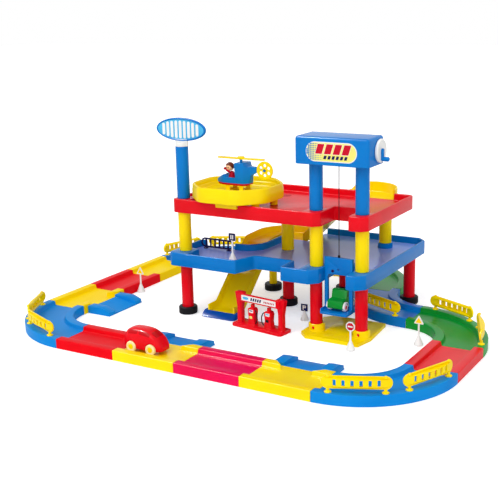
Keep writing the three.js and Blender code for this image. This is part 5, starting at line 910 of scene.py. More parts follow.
def chute(start, heading, run, fall, count=33):
    """Stations of a straight chute: start + heading * run * t, lowered by the fall's share at t."""
    t = np.linspace(0, 1, count)[1:]
    heading = np.array(heading, float)
    place = np.array(start, float) + heading * (run * t)[:, None]
    place[:, 2] -= fall * fall_share(t)
    slope = np.gradient(fall * fall_share(t), run * t)
    slope[-1] = 0.0
    up = unit(np.array([0, 0, 1.0]) + heading * slope[:, None])
    side = np.tile(np.cross(heading, [0, 0, 1.0]), (len(t), 1))
    return place, side, up


def carry(parts, section=SLIDE_SECTION):
    """The section laid at every station: place + side * x + up * y."""
    place, side, up = (np.concatenate([part[k] for part in parts]) for k in range(3))
    return place[:, None] + side[:, None] * section[None, :, :1] + up[:, None] * section[None, :, 1:]


print("the slide's section has", len(SLIDE_SECTION), "points")

# %% Slides
SLIDE_BEVEL, LANDING, TOE_HEIGHT, START_GAP = 0.6, (-18.3, 191.0, MID), 9.0, 0.3
upper_rings = carry([quarter((150, 148), UPPER, 0.0),
                     chute((125, 191, UPPER), (-1, 0, 0), 143, UPPER - MID)], TALL_SECTION)
upper_rings[0, :, 1] += START_GAP
rings_piece("upper_slide", upper_rings, AMBER, "garage", ["slide_upper"], bevel=SLIDE_BEVEL)
lower_rings = carry([station(LANDING, (0, 1, 0)), quarter((-63, 148), MID, np.pi / 2),
                     chute((-106, 98, MID), (0, -1, 0), 164, MID - TOE_HEIGHT),
                     station((-106, -98, TOE_HEIGHT), (-1, 0, 0))])
# Beside the middle floor the wall is cut down, so that cars can cross.
beside_deck = (lower_rings[..., 0] > -63.5) & (lower_rings[..., 1] < 159) & (lower_rings[..., 2] > MID)
lower_rings[..., 2] = np.where(beside_deck, MID, lower_rings[..., 2])
rings_piece("lower_slide", lower_rings, AMBER, "garage", ["slide_lower"], bevel=SLIDE_BEVEL)
for title, (x, y), z, node in (("upper_slide_boss", EXIT_COLUMN, UPPER, "slide_upper"),
                               ("lower_slide_boss", (-106, 154), MID, "slide_lower")):
    boss = [(TIP, z - 2), (15, z - 2), (15, z - 7, 0.8), (TIP, z - 7)]
    turned(title, (x, y, 0), boss, AMBER, "garage", [node])
print("slides of", len(upper_rings), "and", len(lower_rings), "stations")

# %% [markdown]
# ## Helipad
# The helipad is a tray with eight soft corners, which stands on four round feet and reaches over the
# rim of the upper floor with a tab. One stack of rings goes from its underside over the rounded rim
# down to the pad. Behind it, a flat darker red disc with a shallow dip lies in the upper floor where a
# socket hole is; its darker red is painted shade in that hole.

# %% Helipad
PAD_LEFT, PAD_RIGHT, PAD_FRONT, PAD_REAR, PAD_CUT, PAD_ROUND = -177, 27, -152, 36, 52, 42
PAD_MIDDLE, PAD_FEET = (-64, -58), (61, 42)
PAD = [(x, y, PAD_ROUND) for x, y in (
    (PAD_LEFT, PAD_FRONT + PAD_CUT), (PAD_LEFT + PAD_CUT, PAD_FRONT), (PAD_RIGHT - PAD_CUT, PAD_FRONT),
    (PAD_RIGHT, PAD_FRONT + PAD_CUT), (PAD_RIGHT, PAD_REAR - PAD_CUT), (PAD_RIGHT - PAD_CUT, PAD_REAR),
    (PAD_LEFT + PAD_CUT, PAD_REAR), (PAD_LEFT, PAD_REAR - PAD_CUT))]
PAD_EDGE = [(9, 296), (5, 290), (4, 286.4), (1.5, 286), (0.3, 287), (0, 289), (0, 306), (0.6, 308),
            (1.0, 316), (2.0, 319), (4.0, 320), (6.5, 319), (7.6, 316.5), (8.0, 309), (9.6, 308),
            (10.2, 306.5), (10.4, 302), (12.0, 300)]
pad_rings = stack([(PAD, inset, z) for inset, z in PAD_EDGE], 6)
rings_piece("helipad_tray", pad_rings, YELLOW, "garage", ["helipad"])
for side, name in ((-1, "l"), (1, "r")):
    for end, mark in ((-1, "f"), (1, "b")):
        place = (PAD_MIDDLE[0] + PAD_FEET[0] * side, PAD_MIDDLE[1] + PAD_FEET[1] * end, 0)
        turned(f"helipad_foot_{name}{mark}", place, [(TIP, 266.3), (9, 266.3, 1.0), (9, 297), (TIP, 297)],
               YELLOW, "garage", ["helipad"], steps=28)


def plates(title, outlines, back, front, material, nodes=(), turn=None, slot="white_plastic"):
    """Thin upright plates in one piece: each outline of x and z, laid at the depths back and front."""
    points, faces = [], []
    for outline in outlines:
        flat = np.asarray(outline, float)
        base = sum(len(p) for p in points)
        points.append(np.concatenate([np.insert(flat, 1, depth, axis=1) for depth in (back, front)]))
        faces += [[base + index for index in face] for face in skin_faces(2, len(flat))]
    points = np.concatenate(points)
    if turn is not None:
        points = turn(points)
    return piece(title, points, faces, material, "garage", nodes, slot=slot)


tab = fillet([(-92, 273, 2), (-36, 273, 2), (-36, 288, 0), (-92, 288, 0)], 4)
plates("helipad_tab", [tab], -124.8, -129.0, YELLOW, ["helipad"], slot="yellow_plastic")
# painted shade: a darker red disc stands for the shade inside a socket hole of the upper floor
socket_shade = [(TIP, UPPER - 0.6), (13, UPPER - 0.6), (13, UPPER + 0.4, 0.4), (9, UPPER + 0.4), (8, UPPER + 0.1),
        (TIP, UPPER + 0.1)]
turned("upper_floor_socket_shade", (-28, 88, 0), socket_shade, DULL_RED, "garage", ["deck_upper"])
print("helipad", PAD_RIGHT - PAD_LEFT, "by", PAD_REAR - PAD_FRONT, "mm")

# %% [markdown]
# ## Signs
# The tower sign is an oval: the same ring of points, grown and shrunk, goes from the back over a raised
# border into the recessed middle. Plain upright bars fill it, and each is cut to the oval's height. The
# road signs are thin plates on turned posts. A texture could colour them, but it would need a picture.

# %% Tower sign
SIGN_X, SIGN_Z, SIGN_HALF_X, SIGN_HALF_Z = -196.0, 443.0, 68.0, 27.0
BARS, BAR_PITCH, BAR_WIDE, BAR_ROUND = 9, 11.6, 7.2, 3.4
BAR_FIELD_X, BAR_FIELD_Z = 62.0, 20.5


def oval_rings(levels, count=64):
    """Upright ellipses about the sign's middle, with both half axes changed by grow, laid at the depth y."""
    rings = []
    for grow, y in levels:
        flat = oval(SIGN_X, SIGN_Z, SIGN_HALF_X + grow, SIGN_HALF_Z + grow, count)
        rings.append(np.insert(flat, 1, y, axis=1))
    return rings


BORDER = [(-3, -100), (-0.8, -100.6), (0, -102), (0, -106), (-0.8, -107.4), (-2, -108), (-3.2, -107.6),
          (-4, -106.5)]
rings_piece("tower_sign_oval", oval_rings(BORDER), BLUE, "garage", ["tower_sign"])
rings_piece("tower_sign_field", oval_rings([(-4.2, -105), (-4.2, -106.7), (-5, -107)]), SKY, "garage",
            ["tower_sign"])
bars = []
for k in range(BARS):
    x = (k - (BARS - 1) / 2) * BAR_PITCH
    half_high = BAR_FIELD_Z * np.sqrt(1 - (x / BAR_FIELD_X) ** 2)
    bars.append(soft_box(SIGN_X + x, SIGN_Z, BAR_WIDE, 2 * half_high, BAR_ROUND, 4))
plates("tower_sign_bars", bars, -106.9, -107.6, WHITE, ["tower_sign"])
neck = [(TIP, 404.3), (15, 404.3, 0.8), (15, 414.5, 1.0), (TIP, 414.5)]
turned("tower_sign_neck", (SIGN_X, -104, 0), neck, WHITE, "garage", ["tower_sign"])
brace = box_corners(SIGN_X - 17, SIGN_X + 17, -107, -101.5, 1.5)
rings_piece("tower_sign_brace", stack([(brace, 0, 404.5), (brace, 0, 420), (brace, 1, 428)], 3), WHITE,
            "garage", ["tower_sign"])
print("tower sign with", BARS, "bars")

# %% Traffic signs
SIGN_TURN = {3: -np.pi / 6, 4: np.pi / 4, 8: np.pi / 8}
SIGN_REACH = {3: 1.35, 4: np.sqrt(2.0), 8: 1.06}
POST = [(TIP, 0.2), (10, 0.2, 0.4), (10, 3, 0.8), (2.2, 22, 2.0)]
POST_RADIUS, PLATE_ROUND = 2.0, 1.2


def sign_outline(sides, size, x, z, share=1.0):
    """A regular outline with soft corners, flat side down, shrunk about its centre by share."""
    angle = SIGN_TURN[sides] + full_turn(sides)
    radius = SIGN_REACH[sides] * size * share
    corners = np.column_stack([x + radius * np.cos(angle), z + radius * np.sin(angle)])
    return fillet([(*corner, PLATE_ROUND * share) for corner in corners], 3)


def road_sign(title, place, pole, sides, size, field, share, node=None, marks=()):
    """A white cone and pole with a thin plate on top, a coloured field in front, and white marks on it."""
    x, y, z = place
    nodes = [node] if node else []
    post = [*POST, (POST_RADIUS, pole), (TIP, pole)]
    turned(title + "_post", place, post, WHITE, "garage", nodes, steps=24)
    height = z + pole + size - 2
    plates(title + "_plate", [sign_outline(sides, size, x, height)], y + 1, y - 1, WHITE, nodes)
    plates(title + "_field", [sign_outline(sides, size, x, height, share)], y - 0.8, y - 1.3, field, nodes)
    if marks:
        outlines = [soft_box(x + dx, height + dz, wide, high, 0.5, 2) for dx, dz, wide, high in marks]
        plates(title + "_mark", outlines, y - 1.2, y - 1.7, WHITE, nodes)


TWO_BARS = [(-2.4, 0, 2.6, 10), (2.4, 0, 2.6, 10)]
ONE_BAR = [(0, 0, 11, 3.2)]
PLAIN_P = [(-2.8, 0, 2.6, 10.6), (0.5, 4.2, 4.4, 2.2), (3.3, 2.2, 2.2, 6.2), (0.5, 0.2, 4.4, 2.2)]
road_sign("deck_sign", (-69, -98, 140.3), 52, 4, 9.0, NAVY, 0.96, "sign_deck", TWO_BARS)
road_sign("stop_sign", (262, -163, 0), 45, 8, 10.4, PRINT_RED, 0.78, "sign_stop", ONE_BAR)
road_sign("parking_sign", (82, -30, 0), 24, 4, 9.0, NAVY, 0.96, "sign_parking", PLAIN_P)
for side, place in (("left", (-402, -20, 0)), ("right", (378, -67, 0))):
    road_sign("warning_sign_" + side, place, 47, 3, 9.6, AMBER, 0.66)
print("signs done, pieces so far:", len(PIECES))

# %% [markdown]
# ## The lift
# The head is a hollow box with a strongly rounded top on two posts. A box with a bevel would round all
# its edges alike. A stack of rings gives the top a round of its own, and hollows the box from below.

# %% Lift head
HEAD = box_corners(115, 287, -132, -52, 7)
HEAD_ROUND, HEAD_SHOULDER = 7.0, 441.0
POSTS_X, LIFT_Y = (("left", 146), ("right", 256)), -92
arc = np.linspace(0, np.pi / 2, 6)
HEAD_HOLLOW = [(6, 441), (3.2, 438), (3, 389), (2, 388.1), (0.8, 388.1), (0, 389)]
head_levels = [(HEAD, inset, z) for inset, z in HEAD_HOLLOW]
head_levels += [(HEAD, HEAD_ROUND * (1 - np.cos(a)), HEAD_SHOULDER + HEAD_ROUND * np.sin(a)) for a in arc]
rings_piece("lift_head_hood", stack(head_levels, 6), BLUE, "garage", ["lift_head"])
socket = [(TIP, 400), (19, 400), (19, 388.4, 1.0), (15.4, 388.4), (TIP, 396)]
for side, x in POSTS_X:
    turned("lift_head_socket_" + side, (x, LIFT_Y, 0), socket, BLUE, "garage", ["lift_head"])
cover = box_corners(112.8, 116, -122, -60, 1.2)
cover_levels = [(cover, 0.8, 391), (cover, 0, 392), (cover, 0, 420), (cover, 0.8, 421)]
rings_piece("lift_head_cover", stack(cover_levels, 3), BLUE, "garage", ["lift_head"])
print("lift head with", len(head_levels), "rings")

# %% [markdown]
# ## Sticker
# The head's front carries a long sticker with round ends. A picture could colour it, but a toy's print
# is only a few flat shapes, so each colour is one thin plate. Small squares shrink towards the right,
# four slanted bars with white edges stand in the middle, and six short bars stand under them.

# %% Sticker
HEAD_FRONT, STICKER_BACK = -132.0, 0.5
STICKER_X, STICKER_Z, STICKER_LONG, STICKER_HIGH, END_TRIM = 202.0, 417.0, 118.0, 42.0, 0.05
CHECK_ROWS, CHECK_RANKS, ROW_PITCH, RANK_PITCH = 9, 10, 4.1, 3.9
CHECK_SIZE, CHECK_SHRINK, CHECK_EDGE = 3.4, 0.26, 1.6
LEAN = 0.32


def slanted(x, z, wide, high):
    """An upright bar that leans to the right by LEAN times its height."""
    corners = box_corners(-wide / 2, wide / 2, -high / 2, high / 2, 0.6)
    return fillet([(x + a + LEAN * b, z + b, radius) for a, b, radius in corners], 2)


for title, shrink, depth, material in (("rim", 0.0, 0.25, WHITE), ("ground", 1.8, 0.4, LEMON)):
    outline = soft_box(STICKER_X, STICKER_Z, STICKER_LONG - 2 * shrink, STICKER_HIGH - 2 * shrink,
                       STICKER_HIGH / 2 - shrink - END_TRIM, 12)
    plates("head_sticker_" + title, [outline], HEAD_FRONT + STICKER_BACK, HEAD_FRONT - depth, material,
           ["lift_head"])
checks = []
for row in range(CHECK_ROWS):
    for rank in range(CHECK_RANKS):
        x = STICKER_X - STICKER_LONG / 2 + 3 + RANK_PITCH * rank
        z = STICKER_Z + (row - (CHECK_ROWS - 1) / 2) * ROW_PITCH
        size = CHECK_SIZE - CHECK_SHRINK * rank
        apart = np.hypot(min(x - (STICKER_X - STICKER_LONG / 2 + STICKER_HIGH / 2), 0.0), z - STICKER_Z)
        if apart < STICKER_HIGH / 2 - CHECK_EDGE:
            checks.append(soft_box(x, z, size, size, 0.3, 1))
plates("head_sticker_checks", checks, HEAD_FRONT - 0.3, HEAD_FRONT - 0.55, BLUE, ["lift_head"])
for title, grow, depth, material in (("edges", 1.6, 0.6, WHITE), ("bars", 0.0, 0.75, PRINT_RED)):
    stripes = [slanted(STICKER_X - 26 + 20.5 * k, STICKER_Z + 6, 15.5 + grow, 21 + grow) for k in range(4)]
    plates("head_sticker_" + title, stripes, HEAD_FRONT - 0.3, HEAD_FRONT - depth, material, ["lift_head"])
short = [slanted(STICKER_X - 14 + 9.6 * k, STICKER_Z - 11.5, 6.2, 7.5) for k in range(6)]
plates("head_sticker_short_bars", short, HEAD_FRONT - 0.3, HEAD_FRONT - 0.7, NAVY, ["lift_head"])
print("sticker with", len(checks), "squares")

# %% [markdown]
# ## Winch, cord and cabin
# The winch is one shaft with a drum between two flanges, and a white disc with a crank arm and knob
# outside the head. A thin cord runs from the drum to the cabin. Its top lies in the head, and it is a
# straight tube of many rings. The knot at its foot goes with the cabin. The cabin is one of the rounded
# copies, and only its hook is added here.

# %% Winch
WINCH = (0.0, -78.7, 418.0)
CRANK_REACH = 17
SHAFT = [(TIP, 119), (4, 119, 0.5), (4, 185), (16, 185, 0.8), (16, 188, 0.8), (12, 188), (12, 214),
         (16, 214, 0.8), (16, 217, 0.8), (4, 217), (4, 288), (TIP, 288)]
DISC = [(TIP, 288), (24, 288), (25, 289.5, 1.0), (25, 292.5, 1.0), (23.5, 294.2, 1.0), (20, 294.2, 0.8),
        (19, 293.2, 0.6), (TIP, 293.2)]
KNOB = [(TIP, 296), (4, 296), (5, 299, 1.0), (5, 308, 1.5), (3.5, 310, 1.5), (TIP, 310)]
turned("winch_shaft", WINCH, SHAFT, WHITE, "winch", ["lift_winch"], axis="x", steps=36)
turned("crank_disc", WINCH, DISC, WHITE, "winch", ["lift_winch"], axis="x", steps=56)
arm = box_corners(-5, 5, -22, 5, 4)
arm_edge = [(0, 293.5), (0, 296.5), (0.8, 297.4), (2.2, 297.6)]
arm_rings = stack([(arm, inset, x) for inset, x in arm_edge], 5) @ AXES["x"].T + WINCH
rings_piece("crank_arm", arm_rings, BLUE, "winch", ["lift_winch"], slot="white_plastic")
turned("crank_knob", (0, WINCH[1], WINCH[2] - CRANK_REACH), KNOB, BLUE, "winch", ["lift_winch"], axis="x",
       steps=28, slot="white_plastic")
print("winch axis at y, z", WINCH[1:], "mm")

# %% Cord
CORD_X, CORD_RADIUS, CORD_TOP, CORD_FOOT = 201, 0.9, 417.5, 180.0
CORD_RINGS, CORD_SIDES = 60, 10
cord_ring = oval(CORD_X, LIFT_Y, CORD_RADIUS, CORD_RADIUS, CORD_SIDES)
heights = np.linspace(CORD_TOP, CORD_FOOT, CORD_RINGS)
cord_rings = np.array([np.insert(cord_ring, 2, z, axis=1) for z in heights])
cord = rings_piece("lift_cord_line", cord_rings, BLACK, None, ["lift_cord"], slot="cord")
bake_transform(cord)
knot = [(TIP, 180.1), (2.6, 180.8, 1.0), (3.0, 183, 1.2), (2.2, 185.4, 1.0), (TIP, 186.2)]
turned("cord_knot", (CORD_X, LIFT_Y, 0), knot, BLACK, "cabin", ["lift_cord"], steps=20, slot="cord")
print("cord of", CORD_TOP - CORD_FOOT, "mm in", CORD_RINGS, "rings")

# %% Hook and snap buttons
HOOK = [(TIP, 1), (3.4, 1), (3.4, -0.8, 0.6), (1.6, -0.9), (1.5, 0.4), (TIP, 0.4)]
BUTTON = [(TIP, -17), (2.9, -17), (2.9, -19.4, 0.6), (TIP, -19.8)]
turned("cabin_hook", (CORD_X, -124, 158), HOOK, NAVY, "cabin", ["lift_cabin"], axis="y", steps=20)
for side, x in POSTS_X:
    turned("snap_button_" + side, (x, LIFT_Y, 17), BUTTON, RED, "garage", ["lift_base"], axis="y", steps=20)
print("lift done, pieces so far:", len(PIECES))

# %% [markdown]
# ## Wheels
# Each pair of wheels turns on one axle: two dished discs with a hub of another colour. A cylinder with
# a bevel would have the soft rim but no dish. A turned profile gives the soft rim and the dish at once,
# and the hub's cap is a second one that fills the dish.

# %% Wheels
def wheel_pair(node, body, axis, centre, radius, reach, tyre, hub):
    """Two wheels on an axle: turned tyres that end at reach on both sides, with hub caps in their dishes."""
    for side, name in ((-1, "a"), (1, "b")):
        outer, inner = side * reach, side * (reach - 8)
        rim = [(TIP, inner), (radius - 1, inner, 0.8), (radius, inner + side * 1.5, 1.0),
               (radius, outer - side * 1.5, 1.2), (radius - 1.4, outer, 1.0), (radius * 0.62, outer, 0.5),
               (radius * 0.58, outer - side * 1.4), (TIP, outer - side * 1.4)]
        cap = [(TIP, outer - side * 1.6), (radius * 0.5, outer - side * 1.6),
               (radius * 0.48, outer - side * 0.6, 0.5), (radius * 0.2, outer - side * 0.5),
               (TIP, outer - side * 0.4)]
        turned(f"{node}_{name}_tyre", centre, rim, tyre, body, [node], axis=axis, steps=40)
        turned(f"{node}_{name}_hub", centre, cap, hub, body, [node], axis=axis, steps=32)
    axle = [(TIP, 9 - reach), (2.5, 9 - reach), (2.5, reach - 9), (TIP, reach - 9)]
    turned(node + "_axle", centre, axle, tyre, body, [node], axis=axis, steps=20)


CAR_Y, CAR_AXLES, CAR_AXLE_Z, BUGGY_X, BUGGY_AXLE_Z = -390.0, (-131, -81), 24.3, 201.0, 71.3
for end, y in (("rear", -67.25), ("front", -100.25)):
    place = (BUGGY_X, y, BUGGY_AXLE_Z)
    wheel_pair("buggy_wheels_" + end, f"buggy_{end}_wheels", "x", place, 9, 22, WHITE, RED)
for end, x in zip(("rear", "front"), CAR_AXLES):
    place = (x, CAR_Y, CAR_AXLE_Z)
    wheel_pair("car_wheels_" + end, f"car_{end}_wheels", "y", place, 12, 25, CREAM, YELLOW)
print("wheels done, pieces so far:", len(PIECES))

# %% [markdown]
# ## Buggy and car
# The buggy's measured body already has the right shape, with windows set a little into its sides. Its
# rounded copy takes several colours: each face is painted by the place of its middle, such as all that
# stands out past the sides, which is the white fenders, and the faces of the window recesses, which are
# painted a darker green as the shade in them. The car is one smooth dome, so it is a surface of its own,
# with wheel wells cut by a boolean, because a grid can't give their sharp round rims. Its windows are
# thin patches that lie on the same surface.

# %% Buggy
BUGGY_HALF, FENDER_FROM, FENDER_TO, BUGGY_WINDOW_SILL = 18.0, 0.05, 12.0, 89.0


def beside(middle, low, high):
    """Faces whose middle lies between low and high millimetres to either side of the buggy's middle."""
    out = np.abs(middle[:, 0] - BUGGY_X)
    return (out > low) & (out < high)


# painted shade: the window recesses, set in from the sides above the sill, are painted a darker green
rounded_copy("buggy_body", GREEN, "buggy", 0.8, paint=[
    (WHITE, lambda middle: beside(middle, BUGGY_HALF + FENDER_FROM, BUGGY_HALF + FENDER_TO)),
    (RECESS_SHADE_GREEN, lambda middle: (beside(middle, BUGGY_HALF - 1.3, BUGGY_HALF - 0.7)
                                 & (middle[:, 2] > BUGGY_WINDOW_SILL)))])
print("buggy painted with", len(PIECES[-1].data.materials), "plastics")

# %% Car body
CAR_REAR, CAR_PEAK, CAR_NOSE, CAR_LOW, CAR_TOP, CAR_SIDE = -155.6, -111.0, -56.4, 21.0, 64.2, 22.6
ROOF_END, PLAN_END, BELT_SHARE = 0.985, 0.985, 0.4
WELL_RADIUS, WELL_FROM, WELL_TO, WELL_SIDES = 13.2, 15.4, 30, 40


def car_skin(x, around, grow=0.0):
    """Points over the car at x and at an angle around from one side over the roof to the other.

    The roof line is a half oval, blunter behind its peak, and the plan narrows at both ends. Across, y goes
    with a power of the cosine and z with a power of the sine of the angle, above a belt line.
    """
    back = x < CAR_PEAK
    q = np.where(back, (CAR_PEAK - x) / (CAR_PEAK - CAR_REAR), (x - CAR_PEAK) / (CAR_NOSE - CAR_PEAK))
    q = np.clip(q, 0, ROOF_END)
    high = CAR_LOW + (CAR_TOP - CAR_LOW) * np.where(back, (1 - q ** 4) ** 0.36, (1 - q ** 2.1) ** 0.5)
    u = np.abs(2 * (x - CAR_REAR) / (CAR_NOSE - CAR_REAR) - 1) * PLAN_END
    wide = CAR_SIDE * (1 - u ** 4) ** 0.25
    belt = CAR_LOW + BELT_SHARE * (high - CAR_LOW)
    cosine, sine = np.cos(around), np.clip(np.sin(around), 0, 1)
    y = (wide + grow) * np.sign(cosine) * np.abs(cosine) ** 0.6
    z = belt + (high - belt + grow) * sine ** 0.8
    return np.stack(np.broadcast_arrays(x, CAR_Y + y, z), -1)


def well_cutter(x, side):
    """A short cylinder across a wheel's place, as an object that a boolean can cut with."""
    ring = np.insert(oval(x, CAR_AXLE_Z, WELL_RADIUS, WELL_RADIUS, WELL_SIDES), 1, 0.0, axis=1)
    ends = [ring + (0, CAR_Y + side * depth, 0) for depth in (WELL_FROM, WELL_TO)]
    points = np.concatenate(ends) * MM
    mesh = bpy.data.meshes.new("well")
    mesh.from_pydata(points.tolist(), [], outward(points, skin_faces(2, WELL_SIDES)))
    cutter = bpy.data.objects.new("well", mesh)
    bpy.context.scene.collection.objects.link(cutter)
    return cutter


def cut_wells(made, cutters):
    """Cut hollows out of a piece with a boolean and keep the result as its mesh."""
    for cutter in cutters:
        cut = made.modifiers.new("well", "BOOLEAN")
        cut.operation = "DIFFERENCE"
        cut.solver = "EXACT"
        cut.object = cutter
    graph = bpy.context.evaluated_depsgraph_get()
    mesh = bpy.data.meshes.new_from_object(made.evaluated_get(graph))
    made.modifiers.clear()
    made.data = mesh
    mesh.shade_smooth()
    mesh.set_sharp_from_angle(angle=SHARP_ANGLE)
    for cutter in cutters:
        bpy.data.objects.remove(cutter)


print("the car's roof is highest at", car_skin(CAR_PEAK, np.pi / 2)[2].round(1), "mm")

# %% Car shell
lengthwise = CAR_REAR + (CAR_NOSE - CAR_REAR) * (0.5 - 0.5 * np.cos(np.linspace(0.0, np.pi, 45)))
arch = car_skin(lengthwise[:, None], np.linspace(0, np.pi, 33)[None, :])
floor_line = np.concatenate([arch[:, -1:], arch[:, -1:], arch[:, :1], arch[:, :1]], axis=1)
floor_line[..., 2] = CAR_LOW + np.array([1.4, 0.0, 0.0, 1.4])
floor_line[..., 1] = CAR_Y + (floor_line[..., 1] - CAR_Y) * np.array([1.0, 0.94, 0.94, 1.0])
car = rings_piece("car_shell", np.concatenate([arch, floor_line], axis=1), RED, "car", ["car_body"])
cut_wells(car, [well_cutter(x, side) for x in CAR_AXLES for side in (-1, 1)])
print("car shell:", len(car.data.polygons), "faces")

# %% Car windows
GLASS_OUT, GLASS_IN, GLASS_PINCH = 0.4, -0.8, 0.14


def glass(title, x0, x1, low, high):
    """A thin patch on the car's skin, from x0 to x1 and between two angles in degrees.

    Its sides bulge: along x the half length shrinks with t to the power 4, and along the angle with s to it.
    """
    s, t = np.meshgrid(np.linspace(-1, 1, 15), np.linspace(-1, 1, 9), indexing="ij")
    x = (x0 + x1) / 2 + (x1 - x0) / 2 * s * (1 - GLASS_PINCH * t ** 4)
    around = np.radians((low + high) / 2 + (high - low) / 2 * t * (1 - GLASS_PINCH * s ** 4))
    front, back = car_skin(x, around, GLASS_OUT), car_skin(x, around, GLASS_IN)
    rings_piece(title, np.concatenate([front, back[:, ::-1]], axis=1), DULL_RED, "car", ["car_body"])


for title, low, high in (("near", 180 - 58, 180 - 30), ("far", 30, 58)):
    glass(f"car_window_{title}_rear", -140, -115, low, high)
    glass(f"car_window_{title}_front", -111, -84, low, high)
glass("car_windscreen", -83, -70, 66, 114)
glass("car_rear_window", -152.5, -146, 66, 114)
print("car windows done, pieces so far:", len(PIECES))

# %% [markdown]
# ## Helicopter
# The hull is a blue tub with a red stripe along its bottom edge, on two yellow skids. A small doll sits
# in the tub. The copy of the hull is cut off at its belly, so that the skids can be pieces of another
# colour, and the plain stand-in for the doll is taken out of it. Rounded runners and struts then stand
# where the skids were.

# %% Hull
HELI = np.array([*PAD_MIDDLE, 300.3])
BELLY, PILOT_OUT, STRIPE = HELI[2] + 16.0, -19.0, 4.6
PILOT_RADIUS, PILOT_FROM = 10.4, 8.0


def of_pilot(corners):
    """True for a face whose corners all lie on the doll's stand-in: close to its axis and above the seat."""
    apart = np.hypot(corners[:, 0] - HELI[0] - PILOT_OUT, corners[:, 1] - HELI[1])
    return bool((apart < PILOT_RADIUS).all() and corners[:, 2].max() > BELLY + PILOT_FROM)


rounded_copy("heli_body", BLUE, "helicopter", 0.8, trim=BELLY + 0.05, level=BELLY + STRIPE, without=of_pilot,
             paint=[(DULL_RED, lambda middle: middle[:, 2] < BELLY + STRIPE)])
print("hull:", len(PIECES[-1].data.polygons), "faces")

# %% Skids
SKID_OUT, SKID_MIDDLE, SKID_HALF, STRUT_OUT = 16.0, -9.5, 42, 18
SKID_EDGE = [(1.2, 300.5), (0.2, 301), (0, 302), (0, 303.6), (1.2, 304.6)]
STRUT_EDGE = [(0, 303.8), (0.8, 311), (0.8, BELLY + 0.4)]
for side, name in ((-1, "right"), (1, "left")):
    x, y = HELI[0] + SKID_MIDDLE, HELI[1] + side * SKID_OUT
    runner = box_corners(x - SKID_HALF, x + SKID_HALF, y - 4, y + 4, 3.9)
    runner_rings = stack([(runner, inset, z) for inset, z in SKID_EDGE], 5)
    rings_piece("skid_" + name, runner_rings, YELLOW, "helicopter", ["heli_body"], slot="yellow_plastic")
    for end, mark in ((-1, "front"), (1, "rear")):
        middle = x + STRUT_OUT * end
        strut = box_corners(middle - 6, middle + 6, y - 2, y + 2, 1.5)
        rings_piece(f"skid_strut_{name}_{mark}", stack([(strut, inset, z) for inset, z in STRUT_EDGE], 3),
                    AMBER, "helicopter", ["heli_body"], slot="yellow_plastic")
print("skids done, pieces so far:", len(PIECES))

# %% [markdown]
# ## Doll
# The doll is a plain toy figure in a red suit: a body, legs and arms with round ends, a ball for a head
# with two dots for eyes, and a cap of hair. Limbs could be joined into one mesh, but as separate pieces
# each stays a simple surface. The hair is part of a slightly larger ball, whose lower edge rises over
# the face.

# %% Limbs and balls
LEAN_TO = [0.13, 0.37, 0.92]
POLE_ANGLE = 0.06


def tube(title, path, radius, material, body, nodes=(), steps=14, **more):
    """A bent rod: a circle square to the path at each point, place + r cos a * side + r sin a * over."""
    path = np.asarray(path, float)
    ahead = unit(np.gradient(path, axis=0))
    side = unit(np.cross(ahead, LEAN_TO))
    over = np.cross(side, ahead)
    angle = full_turn(steps)
    reach = np.broadcast_to(np.asarray(radius, float), len(path))[:, None, None]
    rings = path[:, None] + reach * (np.cos(angle)[None, :, None] * side[:, None]
                                     + np.sin(angle)[None, :, None] * over[:, None])
    return rings_piece(title, rings, material, body, nodes, **more)


def limb(title, start, stop, first, last, material):
    """A tapered limb with round ends: the radius follows r sin a and the place r (1 - cos a) at each end."""
    start, stop = HELI + np.asarray(start, float), HELI + np.asarray(stop, float)
    length = np.linalg.norm(stop - start)
    dome = np.linspace(POLE_ANGLE, np.pi / 2, 6)
    along = np.concatenate([first * (1 - np.cos(dome)), length - last * (1 - np.cos(dome))[::-1]])
    size = np.concatenate([first * np.sin(dome), last * np.sin(dome)[::-1]])
    path = start + (stop - start) * (along / length)[:, None]
    return tube(title, path, size, material, "helicopter", ["heli_body"])


def ball(title, centre, radius, material):
    """A round part: a limb that is just as long as its two round ends."""
    pole = np.array([0.0, 0.0, radius + 0.05])
    return limb(title, centre - pole, centre + pole, radius, radius, material)


print("limbs start", round(np.degrees(POLE_ANGLE), 1), "degrees from their poles")

# %% Doll
SEAT = PILOT_OUT - 6.0
HEAD_AT, HEAD_RADIUS = np.array([PILOT_OUT - 10.0, -2.5, 56.0]), 9.8
limb("doll_body", (SEAT + 1, 0, 24), (SEAT - 1, 0, 46), 8.6, 6.4, PRINT_RED)
for side, name in ((-1, "r"), (1, "l")):
    limb("doll_leg_" + name, (SEAT, 5.0 * side, 28), (SEAT - 9.5, 5.0 * side, 29.5), 4.2, 3.6, PRINT_RED)
limb("doll_arm_r", (SEAT - 1, -6.5, 43), (SEAT - 11, -9.5, 50), 3.0, 2.6, PRINT_RED)
ball("doll_hand_r", np.array([SEAT - 13.0, -10.2, 52.3]), 3.2, DULL_RED)
limb("doll_arm_l", (SEAT, 6.5, 43), (SEAT - 9, 8, 36), 3.0, 2.6, PRINT_RED)
ball("doll_head", HEAD_AT, HEAD_RADIUS, SKIN)
print("doll's head", 2 * HEAD_RADIUS, "mm across")

